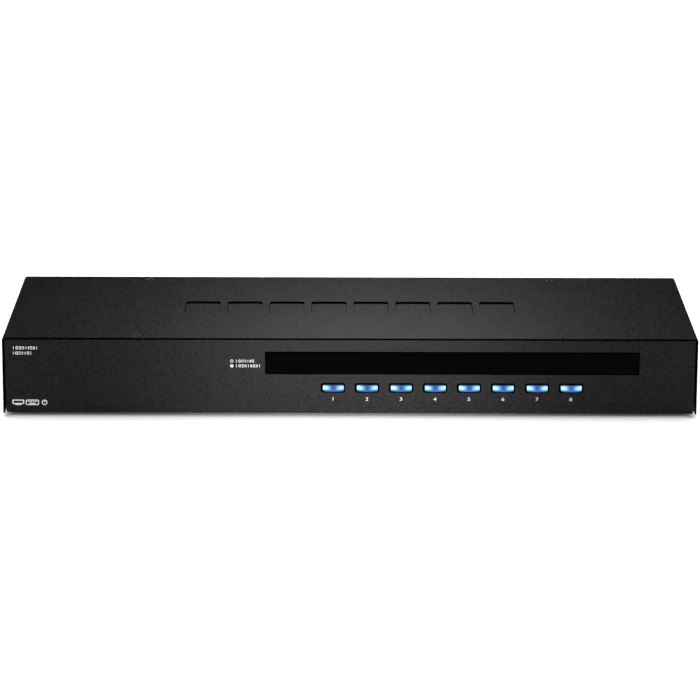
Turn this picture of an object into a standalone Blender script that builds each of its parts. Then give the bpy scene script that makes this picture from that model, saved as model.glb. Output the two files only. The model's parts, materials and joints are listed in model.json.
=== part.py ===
"""Eight-port rack-mount KVM switch: a 1U folded-steel case with eight sprung selector buttons.

Run it with:  blender --background --python part.py

Frame: +Z up, the front panel faces -Y, and the origin is under the middle of the whole object, on the
surface that the rubber feet stand on. All sizes are in metres.
"""

import math

import bmesh
import bpy

MM = 0.001

# ---- Driving dimensions ------------------------------------------------------------------------
CASE_WIDTH = 394.0 * MM
CASE_HEIGHT = 44.0 * MM          # from the underside of the base to the top of the cover
CASE_DEPTH = 142.0 * MM
SHEET = 1.0 * MM                 # steel thickness of the base and the cover
BEND = 1.6 * MM                  # outer radius of every fold
SEAM = 0.3 * MM                  # joint line between the cover and the base
SKIRT_DROP = 0.4 * MM            # the cover's side walls end this far below the base
GAP = 0.3 * MM                   # clearance kept between pieces that touch
FOOT_HEIGHT = 2.2 * MM
FOOT_RADIUS = 6.0 * MM

PORTS = 8
BUTTON_PITCH = 19.3 * MM
BUTTON_ROW_X = 57.9 * MM         # middle of the button row and the window, right of the centre
BUTTON_Z = 15.1 * MM             # heights on the panels are above the underside of the base
BUTTON_SIZE = (12.4 * MM, 4.7 * MM)
BUTTON_SLOT = (13.4 * MM, 5.6 * MM)
BUTTON_CROWN = 1.5 * MM          # how far the middle of the cap bulges past its ends
BUTTON_END_PROUD = 0.3 * MM      # how far the cap's ends stand out of the panel
BUTTON_TRAVEL = 0.7 * MM

WINDOW_SIZE = (212.0 * MM, 13.1 * MM)
WINDOW_Z = 29.5 * MM

BOARD = 1.6 * MM                 # thickness of both circuit boards
FRONT_BOARD_SETBACK = 11.0 * MM  # from the front face to the front of the upright board
MAIN_BOARD_RISE = 7.0 * MM       # from the underside of the base to the underside of the main board

SHELL_PROUD = 5.9 * MM           # how far a video connector's D-shell stands out of the rear panel
PC_PORT_PITCH = 31.75 * MM
PC_PORT_FIRST_X = 43.5 * MM
CHAIN_PORT_X = 79.0 * MM
CONSOLE_VIDEO_X = 114.0 * MM
PS2_X = 140.0 * MM
USB_X = 159.0 * MM
POWER_X = 180.0 * MM

# ---- Places worked out from them ---------------------------------------------------------------
BUTTON_PROUD = BUTTON_END_PROUD + BUTTON_CROWN
FRONT = BUTTON_PROUD - (CASE_DEPTH + BUTTON_PROUD + SHELL_PROUD) / 2   # outer face of the front panel
REAR = FRONT + CASE_DEPTH                                              # outer face of the rear panel
FLOOR = FOOT_HEIGHT + GAP                                              # underside of the base
TOP = FLOOR + CASE_HEIGHT
SIDE = CASE_WIDTH / 2
BASE_SIDE = SIDE - SHEET - SEAM
BASE_TOP = TOP - SHEET - SEAM
BUTTON_XS = [BUTTON_ROW_X + (i - (PORTS - 1) / 2) * BUTTON_PITCH for i in range(PORTS)]
PC_PORT_XS = [PC_PORT_FIRST_X - i * PC_PORT_PITCH for i in range(PORTS)]
VIDEO_XS = [*PC_PORT_XS, CHAIN_PORT_X, CONSOLE_VIDEO_X]
BOARD_TOP = FLOOR + MAIN_BOARD_RISE + BOARD
CONNECTOR_BASE = BOARD_TOP + GAP
CONNECTOR_FACE = REAR - SHEET - GAP      # where the connectors' flanges stop, inside the rear panel

FRONT_FLANGE = 12.0 * MM
REAR_FLANGE = 10.0 * MM
SCREW_HEAD = 2.9 * MM                    # radius
SCREW_SHANK = 1.5 * MM                   # radius
SCREW_LENGTH = 6.0 * MM
SCREW_X = 120.8 * MM
SCREW_INSET = (5.6 * MM, 6.8 * MM)       # from the front face and from the rear face
SCREW_PLACES = [
    (side * SCREW_X, y)
    for y in (FRONT + SCREW_INSET[0], REAR - SCREW_INSET[1])
    for side in (-1, 1)
]
FOOT_PLACES = [(side * 176 * MM, y) for y in (FRONT + 20 * MM, REAR - 18 * MM) for side in (-1, 1)]
BOARD_POSTS = [
    (x, FRONT + y) for y in (30 * MM, 112 * MM) for x in (-175 * MM, -60 * MM, 60 * MM, 175 * MM)
]
FRONT_BOARD_X = (-59.0 * MM, 175.0 * MM)
FRONT_BOARD_Z = (FLOOR + 5.2 * MM, FLOOR + 40.0 * MM)
FRONT_POSTS = [
    (x, FLOOR + z)
    for x in (FRONT_BOARD_X[0] + 4 * MM, FRONT_BOARD_X[1] - 4 * MM)
    for z in (12 * MM, 34 * MM)
]
EAR_HOLES = [(FRONT + y, FLOOR + z) for y in (12 * MM, 36 * MM) for z in (10 * MM, 34 * MM)]

# ---- Shared sizes of bought-in parts -----------------------------------------------------------
VIDEO_FLANGE = (30.8 * MM, 12.5 * MM)
VIDEO_DEPTH = 12.0 * MM
VIDEO_SHELL = (16.9 * MM, 8.4 * MM)
JACKSCREW_X = 12.5 * MM
JACKSCREW_LENGTH = 4.8 * MM
VIDEO_Z = CONNECTOR_BASE + VIDEO_FLANGE[1] / 2
USB_SIZE = (14.4 * MM, 15.6 * MM)
USB_DEPTH = 17.5 * MM
USB_PROUD = 0.6 * MM
PS2_SIZE = (14.0 * MM, 26.4 * MM)
PS2_DEPTH = 13.0 * MM
JACK_SIZE = (9.0 * MM, 11.0 * MM)
JACK_DEPTH = 14.0 * MM


# ---- Scene helpers -----------------------------------------------------------------------------
def clear_scene():
    for obj in list(bpy.data.objects):
        bpy.data.objects.remove(obj)


def new_collection(name, parent=None):
    made = bpy.data.collections.new(name)
    (parent or bpy.context.scene.collection).children.link(made)
    return made


def move_to(obj, home):
    for old in list(obj.users_collection):
        old.objects.unlink(obj)
    home.objects.link(obj)
    return obj


def material(name, colour, roughness, metallic=0.0):
    made = bpy.data.materials.new(name)
    made.use_nodes = True
    shader = made.node_tree.nodes["Principled BSDF"]
    shader.inputs["Base Color"].default_value = (*colour, 1.0)
    shader.inputs["Roughness"].default_value = roughness
    shader.inputs["Metallic"].default_value = metallic
    return made


def finish(obj, name, paint, smooth_angle=30.0):
    """Names a finished part, paints it and puts it with the parts."""
    obj.name = obj.data.name = name
    obj.data.materials.clear()
    obj.data.materials.append(paint)
    if smooth_angle:
        obj.data.shade_smooth()
        obj.data.set_sharp_from_angle(angle=math.radians(smooth_angle))
    return move_to(obj, PARTS)


# ---- Shapes ------------------------------------------------------------------------------------
def add_box(low, high):
    centre = [(a + b) / 2 for a, b in zip(low, high)]
    bpy.ops.mesh.primitive_cube_add(size=1, location=centre)
    box = bpy.context.object
    box.scale = [b - a for a, b in zip(low, high)]
    bpy.ops.object.transform_apply(location=False, rotation=False, scale=True)
    return box


def add_rod(radius, start, end, sides=12):
    """A cylinder from start to end, along whichever axis the two points differ in."""
    length = sum(abs(b - a) for a, b in zip(start, end))
    centre = [(a + b) / 2 for a, b in zip(start, end)]
    turn = (
        math.pi / 2 if start[1] != end[1] else 0,
        math.pi / 2 if start[0] != end[0] else 0,
        0,
    )
    bpy.ops.mesh.primitive_cylinder_add(
        vertices=sides, radius=radius, depth=length, location=centre, rotation=turn
    )
    return bpy.context.object


def rounded_rectangle(width, height, radius, steps=3):
    """Corner points of a rounded rectangle about (0, 0), anticlockwise."""
    points = []
    for quarter, (sx, sy) in enumerate(((1, 1), (-1, 1), (-1, -1), (1, -1))):
        cx, cy = sx * (width / 2 - radius), sy * (height / 2 - radius)
        for i in range(steps + 1):
            angle = (quarter + i / steps) * math.pi / 2
            points.append((cx + radius * math.cos(angle), cy + radius * math.sin(angle)))
    return points


def d_outline(width, height, radius=2.2 * MM, slant=10.0, steps=3):
    """A D-sub shell's outline about (0, 0): wider at the top, with slanting ends and round corners."""
    lean = math.tan(math.radians(slant)) * height / 2
    corners = [
        (width / 2, height / 2),
        (-width / 2, height / 2),
        (-width / 2 + 2 * lean, -height / 2),
        (width / 2 - 2 * lean, -height / 2),
    ]
    points = []
    for i, corner in enumerate(corners):
        before, after = corners[i - 1], corners[(i + 1) % 4]
        towards = [math.atan2(p[1] - corner[1], p[0] - corner[0]) for p in (before, after)]
        opening = (towards[0] - towards[1]) % math.tau
        middle = towards[1] + opening / 2
        reach = radius / math.sin(opening / 2)
        centre = (corner[0] + reach * math.cos(middle), corner[1] + reach * math.sin(middle))
        sweep = math.pi - opening
        first = towards[0] + math.pi / 2
        for k in range(steps + 1):
            angle = first + sweep * k / steps
            points.append((centre[0] + radius * math.cos(angle), centre[1] + radius * math.sin(angle)))
    return points


def hexagon(across_flats):
    radius = across_flats / math.sqrt(3)
    return [(radius * math.cos(k * math.pi / 3), radius * math.sin(k * math.pi / 3)) for k in range(6)]


def add_prism(outline, start, end, facing="Z"):
    """A flat outline pulled from start to end. facing names the axis it is pulled along.

    For "Y" the outline stands upright: its first coordinate runs along X and its second up Z.
    For "X" it stands upright too, with its first coordinate along Y.
    """
    curve = bpy.data.curves.new("outline", "CURVE")
    curve.dimensions = "2D"
    curve.fill_mode = "BOTH"
    curve.extrude = sum(abs(b - a) for a, b in zip(start, end)) / 2
    spline = curve.splines.new("POLY")
    spline.points.add(len(outline) - 1)
    for point, (u, v) in zip(spline.points, outline):
        point.co = (u, v, 0, 1)
    spline.use_cyclic_u = True
    drawn = bpy.data.objects.new("outline", curve)
    bpy.context.scene.collection.objects.link(drawn)
    drawn.location = [(a + b) / 2 for a, b in zip(start, end)]
    drawn.rotation_euler = {
        "Z": (0, 0, 0),
        "Y": (math.pi / 2, 0, 0),
        "X": (math.pi / 2, 0, math.pi / 2),
    }[facing]
    return as_mesh(drawn)


def as_mesh(obj):
    """The evaluated shape of an object as a plain welded mesh object in its place, which it replaces."""
    bpy.context.view_layer.update()
    graph = bpy.context.evaluated_depsgraph_get()
    mesh = bpy.data.meshes.new_from_object(obj.evaluated_get(graph), depsgraph=graph)
    shape = bmesh.new()
    shape.from_mesh(mesh)
    bmesh.ops.remove_doubles(shape, verts=shape.verts, dist=1e-6)
    bmesh.ops.recalc_face_normals(shape, faces=shape.faces)
    shape.to_mesh(mesh)
    shape.free()
    made = bpy.data.objects.new(obj.name, mesh)
    bpy.context.scene.collection.objects.link(made)
    made.matrix_world = obj.matrix_world.copy()
    bpy.data.objects.remove(obj)
    return made


def turned(profile, steps=16):
    """A solid of revolution about its own Z axis. The profile runs down its outer side, top to bottom."""
    mesh = bpy.data.meshes.new("turned")
    points = [(radius, 0, height) for radius, height in profile]
    mesh.from_pydata(points, [(i, i + 1) for i in range(len(points) - 1)], [])
    obj = bpy.data.objects.new("turned", mesh)
    bpy.context.scene.collection.objects.link(obj)
    screw = obj.modifiers.new("turn", "SCREW")
    screw.steps = screw.render_steps = steps
    screw.use_merge_vertices = True
    screw.merge_threshold = 1e-6
    return obj


def folded_sheet(profile, start, end, along):
    """Folded steel: the outer line of the sheet pulled along an axis, with its folds rounded.

    The profile's points are (across, up); along is "X" or "Y", and the sheet's thickness lies inside.
    """
    axis = {"X": 0, "Y": 1}[along]
    vertices = []
    for reach in (start, end):
        for across, up in profile:
            vertices.append((reach, across, up) if axis == 0 else (across, reach, up))
    count = len(profile)
    faces = [(i, i + 1, i + 1 + count, i + count) for i in range(count - 1)]
    mesh = bpy.data.meshes.new("sheet")
    mesh.from_pydata(vertices, [], faces)
    obj = bpy.data.objects.new("sheet", mesh)
    bpy.context.scene.collection.objects.link(obj)
    folds = obj.modifiers.new("folds", "BEVEL")
    folds.limit_method = "ANGLE"
    folds.width = BEND
    folds.segments = 4
    wall = obj.modifiers.new("sheet_metal", "SOLIDIFY")
    wall.thickness = SHEET
    wall.offset = -1.0
    wall.use_even_offset = True
    return obj


# ---- Cutting and joining -----------------------------------------------------------------------
def combined(obj, operation, tools):
    """obj cut by the tools or joined to them, as one plain mesh object. The tools are used up."""
    helpers = new_collection("helpers")
    for tool in tools:
        move_to(tool, helpers)
    step = obj.modifiers.new("combined", "BOOLEAN")
    step.operation = operation
    step.operand_type = "COLLECTION"
    step.collection = helpers
    step.solver = "EXACT"
    made = as_mesh(obj)
    for tool in list(helpers.objects):
        bpy.data.objects.remove(tool)
    bpy.data.collections.remove(helpers)
    return made


def joined(obj, *tools):
    """obj with solids that overlap it joined on, one after another."""
    for tool in tools:
        obj = combined(obj, "UNION", [tool])
    return obj


def cut(obj, *tools):
    return combined(obj, "DIFFERENCE", tools)


def copies(first, names_and_places, paint):
    """Names the first object and adds others that share its mesh, each moved by its own offset."""
    home = first.location.copy()
    made = []
    for i, (name, offset) in enumerate(names_and_places):
        obj = first if i == 0 else bpy.data.objects.new(name, first.data)
        if i:
            obj.matrix_world = first.matrix_world.copy()
            bpy.context.scene.collection.objects.link(obj)
        obj.location = [a + b for a, b in zip(home, offset)]
        made.append(obj)
    for obj, (name, _) in zip(made, names_and_places):
        finish(obj, name, paint)
    return made


# ---- Case --------------------------------------------------------------------------------------
def cover_screw_cutters():
    """The countersunk holes in the cover, a little wider than the screw heads."""
    rim, throat = SCREW_HEAD + GAP, SCREW_SHANK + GAP
    above = 1 * MM
    profile = [(0, above), (rim + above, above), (throat, throat - rim), (0, throat - rim)]
    holes = []
    for x, y in SCREW_PLACES:
        hole = as_mesh(turned(profile))
        hole.location = (x, y, TOP)
        holes.append(hole)
    return holes


STAMP_SIZE = (20.2 * MM, 29.0 * MM)
STAMP_PITCH = 24.6 * MM
STAMP_DEPTH = 0.5 * MM
STAMP_Y = (FRONT + REAR) / 2 - 2.3 * MM


def stamp_cutters():
    """A row of eight plain tablets pressed into the cover, one for each port."""
    cutters = []
    for i in range(PORTS):
        x = (i - (PORTS - 1) / 2) * STAMP_PITCH
        outline = rounded_rectangle(*STAMP_SIZE, 4.0 * MM)
        cutters.append(add_prism(outline, (x, STAMP_Y, TOP - STAMP_DEPTH), (x, STAMP_Y, TOP + 1 * MM)))
    return cutters


VENT_SIZE = (2.2 * MM, 18.0 * MM)
VENT_PITCH = 5.0 * MM
VENTS_PER_SIDE = 13
VENT_FIRST_Y = FRONT + 60 * MM


def side_wall_cutters():
    """Ventilation slots and the rack ears' holes, each cut through both side walls at once."""
    cutters = []
    for i in range(VENTS_PER_SIDE):
        y = VENT_FIRST_Y + i * VENT_PITCH
        z = FLOOR + CASE_HEIGHT / 2
        outline = rounded_rectangle(*VENT_SIZE, VENT_SIZE[0] / 2 * 0.98, steps=2)
        for side in (-1, 1):
            inner, outer = side * (SIDE - 3 * MM), side * (SIDE + 2 * MM)
            cutters.append(add_prism(outline, (inner, y, z), (outer, y, z), "X"))
    for y, z in EAR_HOLES:
        for side in (-1, 1):
            cutters.append(add_rod(2.2 * MM, (side * (SIDE - 3 * MM), y, z), (side * (SIDE + 2 * MM), y, z)))
    return cutters


def make_top_cover():
    skirt = FLOOR - SKIRT_DROP
    profile = [(-SIDE, skirt), (-SIDE, TOP), (SIDE, TOP), (SIDE, skirt)]
    cover = folded_sheet(profile, FRONT, REAR, "Y")
    cover = cut(cover, *stamp_cutters(), *cover_screw_cutters(), *side_wall_cutters())
    finish(cover, "top_cover", BLACK_PAINT)


def base_additions():
    """Pieces welded or pressed into the base: board posts, side lips and the rack ears' plates."""
    added = []
    for x, y in BOARD_POSTS:
        top = FLOOR + MAIN_BOARD_RISE - GAP
        added.append(add_rod(3.0 * MM, (x, y, FLOOR + SHEET / 2), (x, y, top)))
    for x, z in FRONT_POSTS:
        back = FRONT + FRONT_BOARD_SETBACK - GAP
        added.append(add_rod(2.6 * MM, (x, FRONT + SHEET / 2, z), (x, back, z)))
    for side in (-1, 1):
        outer, inner = side * BASE_SIDE, side * (BASE_SIDE - SHEET)
        low, high = min(outer, inner), max(outer, inner)
        z = FLOOR + SHEET / 2
        added.append(add_box((low, FRONT + 46 * MM, z), (high, REAR - 4 * MM, FLOOR + 9 * MM)))
        added.append(add_box((low, FRONT + 4 * MM, z), (high, FRONT + 45 * MM, FLOOR + 39 * MM)))
    return added


def front_panel_cutters():
    """The display opening, the eight button slots and the holes for the cover screws."""
    deep = (FRONT - 2 * MM, FRONT + 3 * MM)
    cutters = [
        add_prism(
            rounded_rectangle(*WINDOW_SIZE, 0.6 * MM),
            (BUTTON_ROW_X, deep[0], FLOOR + WINDOW_Z),
            (BUTTON_ROW_X, deep[1], FLOOR + WINDOW_Z),
            "Y",
        )
    ]
    for x in BUTTON_XS:
        cutters.append(
            add_prism(
                rounded_rectangle(*BUTTON_SLOT, 1.3 * MM),
                (x, deep[0], FLOOR + BUTTON_Z),
                (x, deep[1], FLOOR + BUTTON_Z),
                "Y",
            )
        )
    for x, y in SCREW_PLACES:
        hole = SCREW_SHANK + 1.5 * GAP
        cutters.append(add_rod(hole, (x, y, BASE_TOP - 3 * MM), (x, y, BASE_TOP + 2 * MM), 16))
    for y, z in EAR_HOLES:
        for side in (-1, 1):
            start, end = side * (BASE_SIDE - 3 * MM), side * (BASE_SIDE + 2 * MM)
            cutters.append(add_rod(1.8 * MM, (start, y, z), (end, y, z)))
    return cutters


def corner_reliefs():
    """Notches at the ends of the base's two long lower folds, which let the sheet fold cleanly."""
    reach = BEND + 0.2 * MM
    cutters = []
    for face, inward in ((FRONT, 1), (REAR, -1)):
        low_y, high_y = sorted((face - inward * 1 * MM, face + inward * reach))
        for side in (-1, 1):
            low_x, high_x = sorted((side * (BASE_SIDE - 1.2 * MM), side * (BASE_SIDE + 1 * MM)))
            cutters.append(add_box((low_x, low_y, FLOOR - 1 * MM), (high_x, high_y, FLOOR + reach)))
    return cutters


def rear_panel_cutters():
    """The openings that the connectors come out of."""
    near, far = REAR - 3 * MM, REAR + 2 * MM
    cutters = []
    for x in VIDEO_XS:
        opening = d_outline(*(size + 0.8 * MM for size in VIDEO_SHELL), radius=2.5 * MM)
        cutters.append(add_prism(opening, (x, near, VIDEO_Z), (x, far, VIDEO_Z), "Y"))
        for side in (-1, 1):
            hole_x = x + side * JACKSCREW_X
            cutters.append(add_rod(1.9 * MM, (hole_x, near, VIDEO_Z), (hole_x, far, VIDEO_Z)))
    for x, (wide, tall) in ((USB_X, USB_SIZE), (PS2_X, PS2_SIZE), (POWER_X, JACK_SIZE)):
        low = (x - wide / 2 - 0.4 * MM, near, CONNECTOR_BASE - 0.4 * MM)
        high = (x + wide / 2 + 0.4 * MM, far, CONNECTOR_BASE + tall + 0.4 * MM)
        cutters.append(add_box(low, high))
    return cutters


def make_base_chassis():
    """One folded sheet: a lip, the front panel, the floor, the rear panel and a second lip."""
    profile = [
        (FRONT + FRONT_FLANGE, BASE_TOP),
        (FRONT, BASE_TOP),
        (FRONT, FLOOR),
        (REAR, FLOOR),
        (REAR, BASE_TOP),
        (REAR - REAR_FLANGE, BASE_TOP),
    ]
    base = folded_sheet(profile, -BASE_SIDE, BASE_SIDE, "X")
    base = combined(base, "UNION", base_additions())
    base = cut(base, *front_panel_cutters(), *rear_panel_cutters(), *corner_reliefs())
    finish(base, "base_chassis", BLACK_PAINT)


def make_cover_screws():
    """Countersunk screws, flush with the cover, that go through the base's two lips."""
    rim = 0.15 * MM
    neck = rim + SCREW_HEAD - SCREW_SHANK
    profile = [
        (0, 0),
        (SCREW_HEAD, 0),
        (SCREW_HEAD, -rim),
        (SCREW_SHANK, -neck),
        (SCREW_SHANK, 0.5 * MM - SCREW_LENGTH),
        (SCREW_SHANK - 0.4 * MM, -SCREW_LENGTH),
        (0, -SCREW_LENGTH),
    ]
    x, y = SCREW_PLACES[0]
    first = as_mesh(turned(profile))
    first.location = (x, y, TOP)
    names = ("front_left", "front_right", "rear_left", "rear_right")
    places = [(f"cover_screw_{n}", (px - x, py - y, 0)) for n, (px, py) in zip(names, SCREW_PLACES)]
    copies(first, places, BLACK_ZINC)


def make_feet():
    profile = [
        (0, FOOT_HEIGHT),
        (FOOT_RADIUS, FOOT_HEIGHT),
        (FOOT_RADIUS - 0.5 * MM, 0.4 * MM),
        (FOOT_RADIUS - 1.0 * MM, 0),
        (0, 0),
    ]
    x, y = FOOT_PLACES[0]
    first = as_mesh(turned(profile, steps=20))
    first.location = (x, y, 0)
    names = ("front_left", "front_right", "rear_left", "rear_right")
    places = [(f"foot_{n}", (px - x, py - y, 0)) for n, (px, py) in zip(names, FOOT_PLACES)]
    copies(first, places, RUBBER)


# ---- Front panel parts -------------------------------------------------------------------------
def make_display_window():
    """A smoked lens: a step fills the panel's opening and a wider flange sits behind the panel."""
    wide, tall = WINDOW_SIZE
    z = FLOOR + WINDOW_Z
    lens = add_box(
        (BUTTON_ROW_X - wide / 2 + GAP, FRONT + 0.2 * MM, z - tall / 2 + GAP),
        (BUTTON_ROW_X + wide / 2 - GAP, FRONT + SHEET + 1.3 * MM, z + tall / 2 - GAP),
    )
    flange = add_box(
        (BUTTON_ROW_X - wide / 2 - 2 * MM, FRONT + SHEET + GAP, z - tall / 2 - 2 * MM),
        (BUTTON_ROW_X + wide / 2 + 2 * MM, FRONT + SHEET + 1.5 * MM, z + tall / 2 + 2 * MM),
    )
    finish(joined(flange, lens), "display_window", SMOKED_ACRYLIC)


CAP_FLANGE_FRONT = FRONT + SHEET + GAP
CAP_FLANGE_BACK = CAP_FLANGE_FRONT + 0.8 * MM
CAP_BACK = FRONT + 5.0 * MM
SWITCH_FRONT = FRONT + 7.5 * MM
SWITCH_BACK = FRONT + FRONT_BOARD_SETBACK - GAP
PLUNGER_FRONT = FRONT + 3.5 * MM
PLUNGER_BACK = SWITCH_FRONT + 1.5 * MM
PLUNGER_RADIUS = 1.7 * MM


def cap_outline(steps=8):
    """The cap seen from above: straight sides and a front that bulges in one arc. y is 0 at the panel."""
    half = BUTTON_SIZE[0] / 2
    radius = half**2 / (2 * BUTTON_CROWN) + BUTTON_CROWN / 2
    reach = math.asin(half / radius)
    points = [(half, CAP_FLANGE_BACK - FRONT), (-half, CAP_FLANGE_BACK - FRONT)]
    for i in range(steps + 1):
        angle = -reach + 2 * reach * i / steps
        bulge = radius * math.cos(angle) - (radius - BUTTON_CROWN)
        points.append((radius * math.sin(angle), -BUTTON_END_PROUD - bulge))
    return points


def make_button_caps():
    """Selector caps: crowned face, a flange that keeps the cap in, and a socket for the plunger."""
    x, z = BUTTON_XS[0], FLOOR + BUTTON_Z
    wide, tall = BUTTON_SIZE
    face = add_prism(cap_outline(), (x, FRONT, z - tall / 2), (x, FRONT, z + tall / 2))
    flange = add_box(
        (x - wide / 2 - 1.4 * MM, CAP_FLANGE_FRONT, z - tall / 2 - 1.4 * MM),
        (x + wide / 2 + 1.4 * MM, CAP_FLANGE_BACK, z + tall / 2 + 1.4 * MM),
    )
    boss = add_box(
        (x - 2.8 * MM, CAP_FLANGE_BACK - 0.4 * MM, z - 2.8 * MM),
        (x + 2.8 * MM, CAP_BACK, z + 2.8 * MM),
    )
    socket = add_rod(PLUNGER_RADIUS + GAP, (x, PLUNGER_FRONT - GAP, z), (x, CAP_BACK + 1 * MM, z))
    cap = cut(joined(flange, face, boss), socket)
    places = [(f"button_cap_{i + 1}", (other - x, 0, 0)) for i, other in enumerate(BUTTON_XS)]
    copies(cap, places, BLUE_PLASTIC)


def make_switches():
    """Tactile switches on the front board, and the plungers that slide in them."""
    x, z = BUTTON_XS[0], FLOOR + BUTTON_Z
    body = add_box((x - 3 * MM, SWITCH_FRONT, z - 3 * MM), (x + 3 * MM, SWITCH_BACK, z + 3 * MM))
    bore = add_rod(
        PLUNGER_RADIUS + GAP, (x, SWITCH_FRONT - 1 * MM, z), (x, PLUNGER_BACK + BUTTON_TRAVEL + 0.2 * MM, z)
    )
    body = cut(body, bore)
    plunger = as_mesh(add_rod(PLUNGER_RADIUS, (x, PLUNGER_FRONT, z), (x, PLUNGER_BACK, z)))
    for first, what, paint in ((body, "body", BLACK_PLASTIC), (plunger, "plunger", GREY_PLASTIC)):
        places = [(f"switch_{what}_{i + 1}", (other - x, 0, 0)) for i, other in enumerate(BUTTON_XS)]
        copies(first, places, paint)


def make_port_leds():
    """Two-colour port lamps on spacers behind the window: a dome, a body and a wider spacer."""
    dome = [(1.5 * MM * math.sin(a), 6.5 * MM + 1.5 * MM * (math.cos(a) - 1)) for a in (0.0, 0.45, 0.9, 1.35)]
    profile = [*dome, (1.5 * MM, 2.2 * MM), (2.1 * MM, 2.2 * MM), (2.1 * MM, 0), (0, 0)]
    lamp = as_mesh(turned(profile, steps=12))
    lamp.rotation_euler = (math.pi / 2, 0, 0)          # the dome points out of the front panel
    x = BUTTON_XS[0]
    lamp.location = (x, FRONT + FRONT_BOARD_SETBACK - GAP, FLOOR + WINDOW_Z)
    bpy.context.view_layer.update()
    copies(lamp, [(f"port_led_{i + 1}", (other - x, 0, 0)) for i, other in enumerate(BUTTON_XS)], CLEAR_EPOXY)


def make_front_board():
    y = FRONT + FRONT_BOARD_SETBACK
    board = add_box((FRONT_BOARD_X[0], y, FRONT_BOARD_Z[0]), (FRONT_BOARD_X[1], y + BOARD, FRONT_BOARD_Z[1]))
    finish(board, "front_board", CIRCUIT_BOARD)


# ---- Inside ------------------------------------------------------------------------------------
MAIN_BOARD_Y = (FRONT + 17.0 * MM, CONNECTOR_FACE - 1.0 * MM)
MAIN_BOARD_X = 190.0 * MM
LINK_X = (33.0 * MM, 82.0 * MM)

# Soldered packages: x, y from the front face, width, depth, height.
PACKAGES = [
    (60.0, 58.0, 20.0, 20.0, 1.8),
    (-20.0, 52.0, 12.0, 18.0, 2.4),
    (-70.0, 70.0, 16.0, 16.0, 1.8),
    (-130.0, 70.0, 16.0, 16.0, 1.8),
    (120.0, 62.0, 10.0, 16.0, 2.2),
    (150.0, 40.0, 12.0, 6.0, 9.0),
]


def make_main_board():
    """The main board with its larger soldered packages, which can't be taken off it."""
    low = (-MAIN_BOARD_X, MAIN_BOARD_Y[0], FLOOR + MAIN_BOARD_RISE)
    board = add_box(low, (MAIN_BOARD_X, MAIN_BOARD_Y[1], BOARD_TOP))
    packages = []
    for x, y, wide, deep, tall in PACKAGES:
        centre = (x * MM, FRONT + y * MM)
        packages.append(
            add_box(
                (centre[0] - wide / 2 * MM, centre[1] - deep / 2 * MM, BOARD_TOP - 0.5 * MM),
                (centre[0] + wide / 2 * MM, centre[1] + deep / 2 * MM, BOARD_TOP + tall * MM),
            )
        )
    finish(combined(board, "UNION", packages), "main_board", CIRCUIT_BOARD)


def make_board_link():
    """The right-angle header that carries the front board's signals to the main board."""
    start = FRONT + FRONT_BOARD_SETBACK + BOARD + GAP
    low, high = LINK_X
    upright = add_box((low, start, CONNECTOR_BASE), (high, start + 8.5 * MM, CONNECTOR_BASE + 8.5 * MM))
    seat = add_box(
        (low + 1 * MM, start + 6 * MM, CONNECTOR_BASE), (high - 1 * MM, start + 14 * MM, CONNECTOR_BASE + 4 * MM)
    )
    finish(joined(upright, seat), "board_link", BLACK_PLASTIC)


def make_buzzer():
    """The round sounder that beeps when a port is selected."""
    radius, height = 6.0 * MM, 8.5 * MM
    profile = [
        (1.2 * MM, height - 1.5 * MM),
        (1.2 * MM, height),
        (radius - 0.5 * MM, height),
        (radius, height - 0.5 * MM),
        (radius, 0),
        (0, 0),
    ]
    profile.insert(0, (0, height - 1.5 * MM))
    buzzer = as_mesh(turned(profile, steps=20))
    buzzer.location = (-120.0 * MM, FRONT + 36 * MM, CONNECTOR_BASE)
    finish(buzzer, "buzzer", BLACK_PLASTIC)


# ---- Connectors --------------------------------------------------------------------------------
def make_video_ports():
    """HD-15 sockets: a body behind the panel, a D-shell through it and two hex jackscrews."""
    x = VIDEO_XS[0]
    wide, tall = VIDEO_FLANGE
    body = add_box(
        (x - wide / 2, CONNECTOR_FACE - VIDEO_DEPTH, CONNECTOR_BASE),
        (x + wide / 2, CONNECTOR_FACE, CONNECTOR_BASE + tall),
    )
    start = CONNECTOR_FACE - 1 * MM
    added = [
        add_prism(d_outline(*VIDEO_SHELL), (x, start, VIDEO_Z), (x, REAR + SHELL_PROUD, VIDEO_Z), "Y")
    ]
    for side in (-1, 1):
        screw_x = x + side * JACKSCREW_X
        added.append(add_rod(1.5 * MM, (screw_x, start, VIDEO_Z), (screw_x, REAR + 1 * MM, VIDEO_Z), 8))
        added.append(
            add_prism(
                hexagon(4.75 * MM),
                (screw_x, REAR + GAP, VIDEO_Z),
                (screw_x, REAR + GAP + JACKSCREW_LENGTH, VIDEO_Z),
                "Y",
            )
        )
    port = joined(body, *added)
    names = [f"pc_port_{i + 1}" for i in range(PORTS)] + ["chain_port", "console_video_port"]
    copies(port, [(name, (other - x, 0, 0)) for name, other in zip(names, VIDEO_XS)], TINNED_STEEL)


def make_usb_stack():
    """Two USB sockets, one above the other, each a slot round a flat tongue."""
    wide, tall = USB_SIZE
    z = CONNECTOR_BASE
    face = REAR + USB_PROUD
    body = add_box((USB_X - wide / 2, face - USB_DEPTH, z), (USB_X + wide / 2, face, z + tall))
    for level in (0, 1):
        low = z + 1.2 * MM + level * 7.6 * MM
        pocket = add_box(
            (USB_X - 6.25 * MM, face - 9 * MM, low), (USB_X + 6.25 * MM, face + 1 * MM, low + 5.1 * MM)
        )
        tongue = add_box(
            (USB_X - 5.55 * MM, face - 10 * MM, low + 2.9 * MM),
            (USB_X + 5.55 * MM, face - 0.6 * MM, low + 4.7 * MM),
        )
        body = joined(cut(body, pocket), tongue)
    finish(body, "usb_port_stack", TINNED_STEEL)


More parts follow.
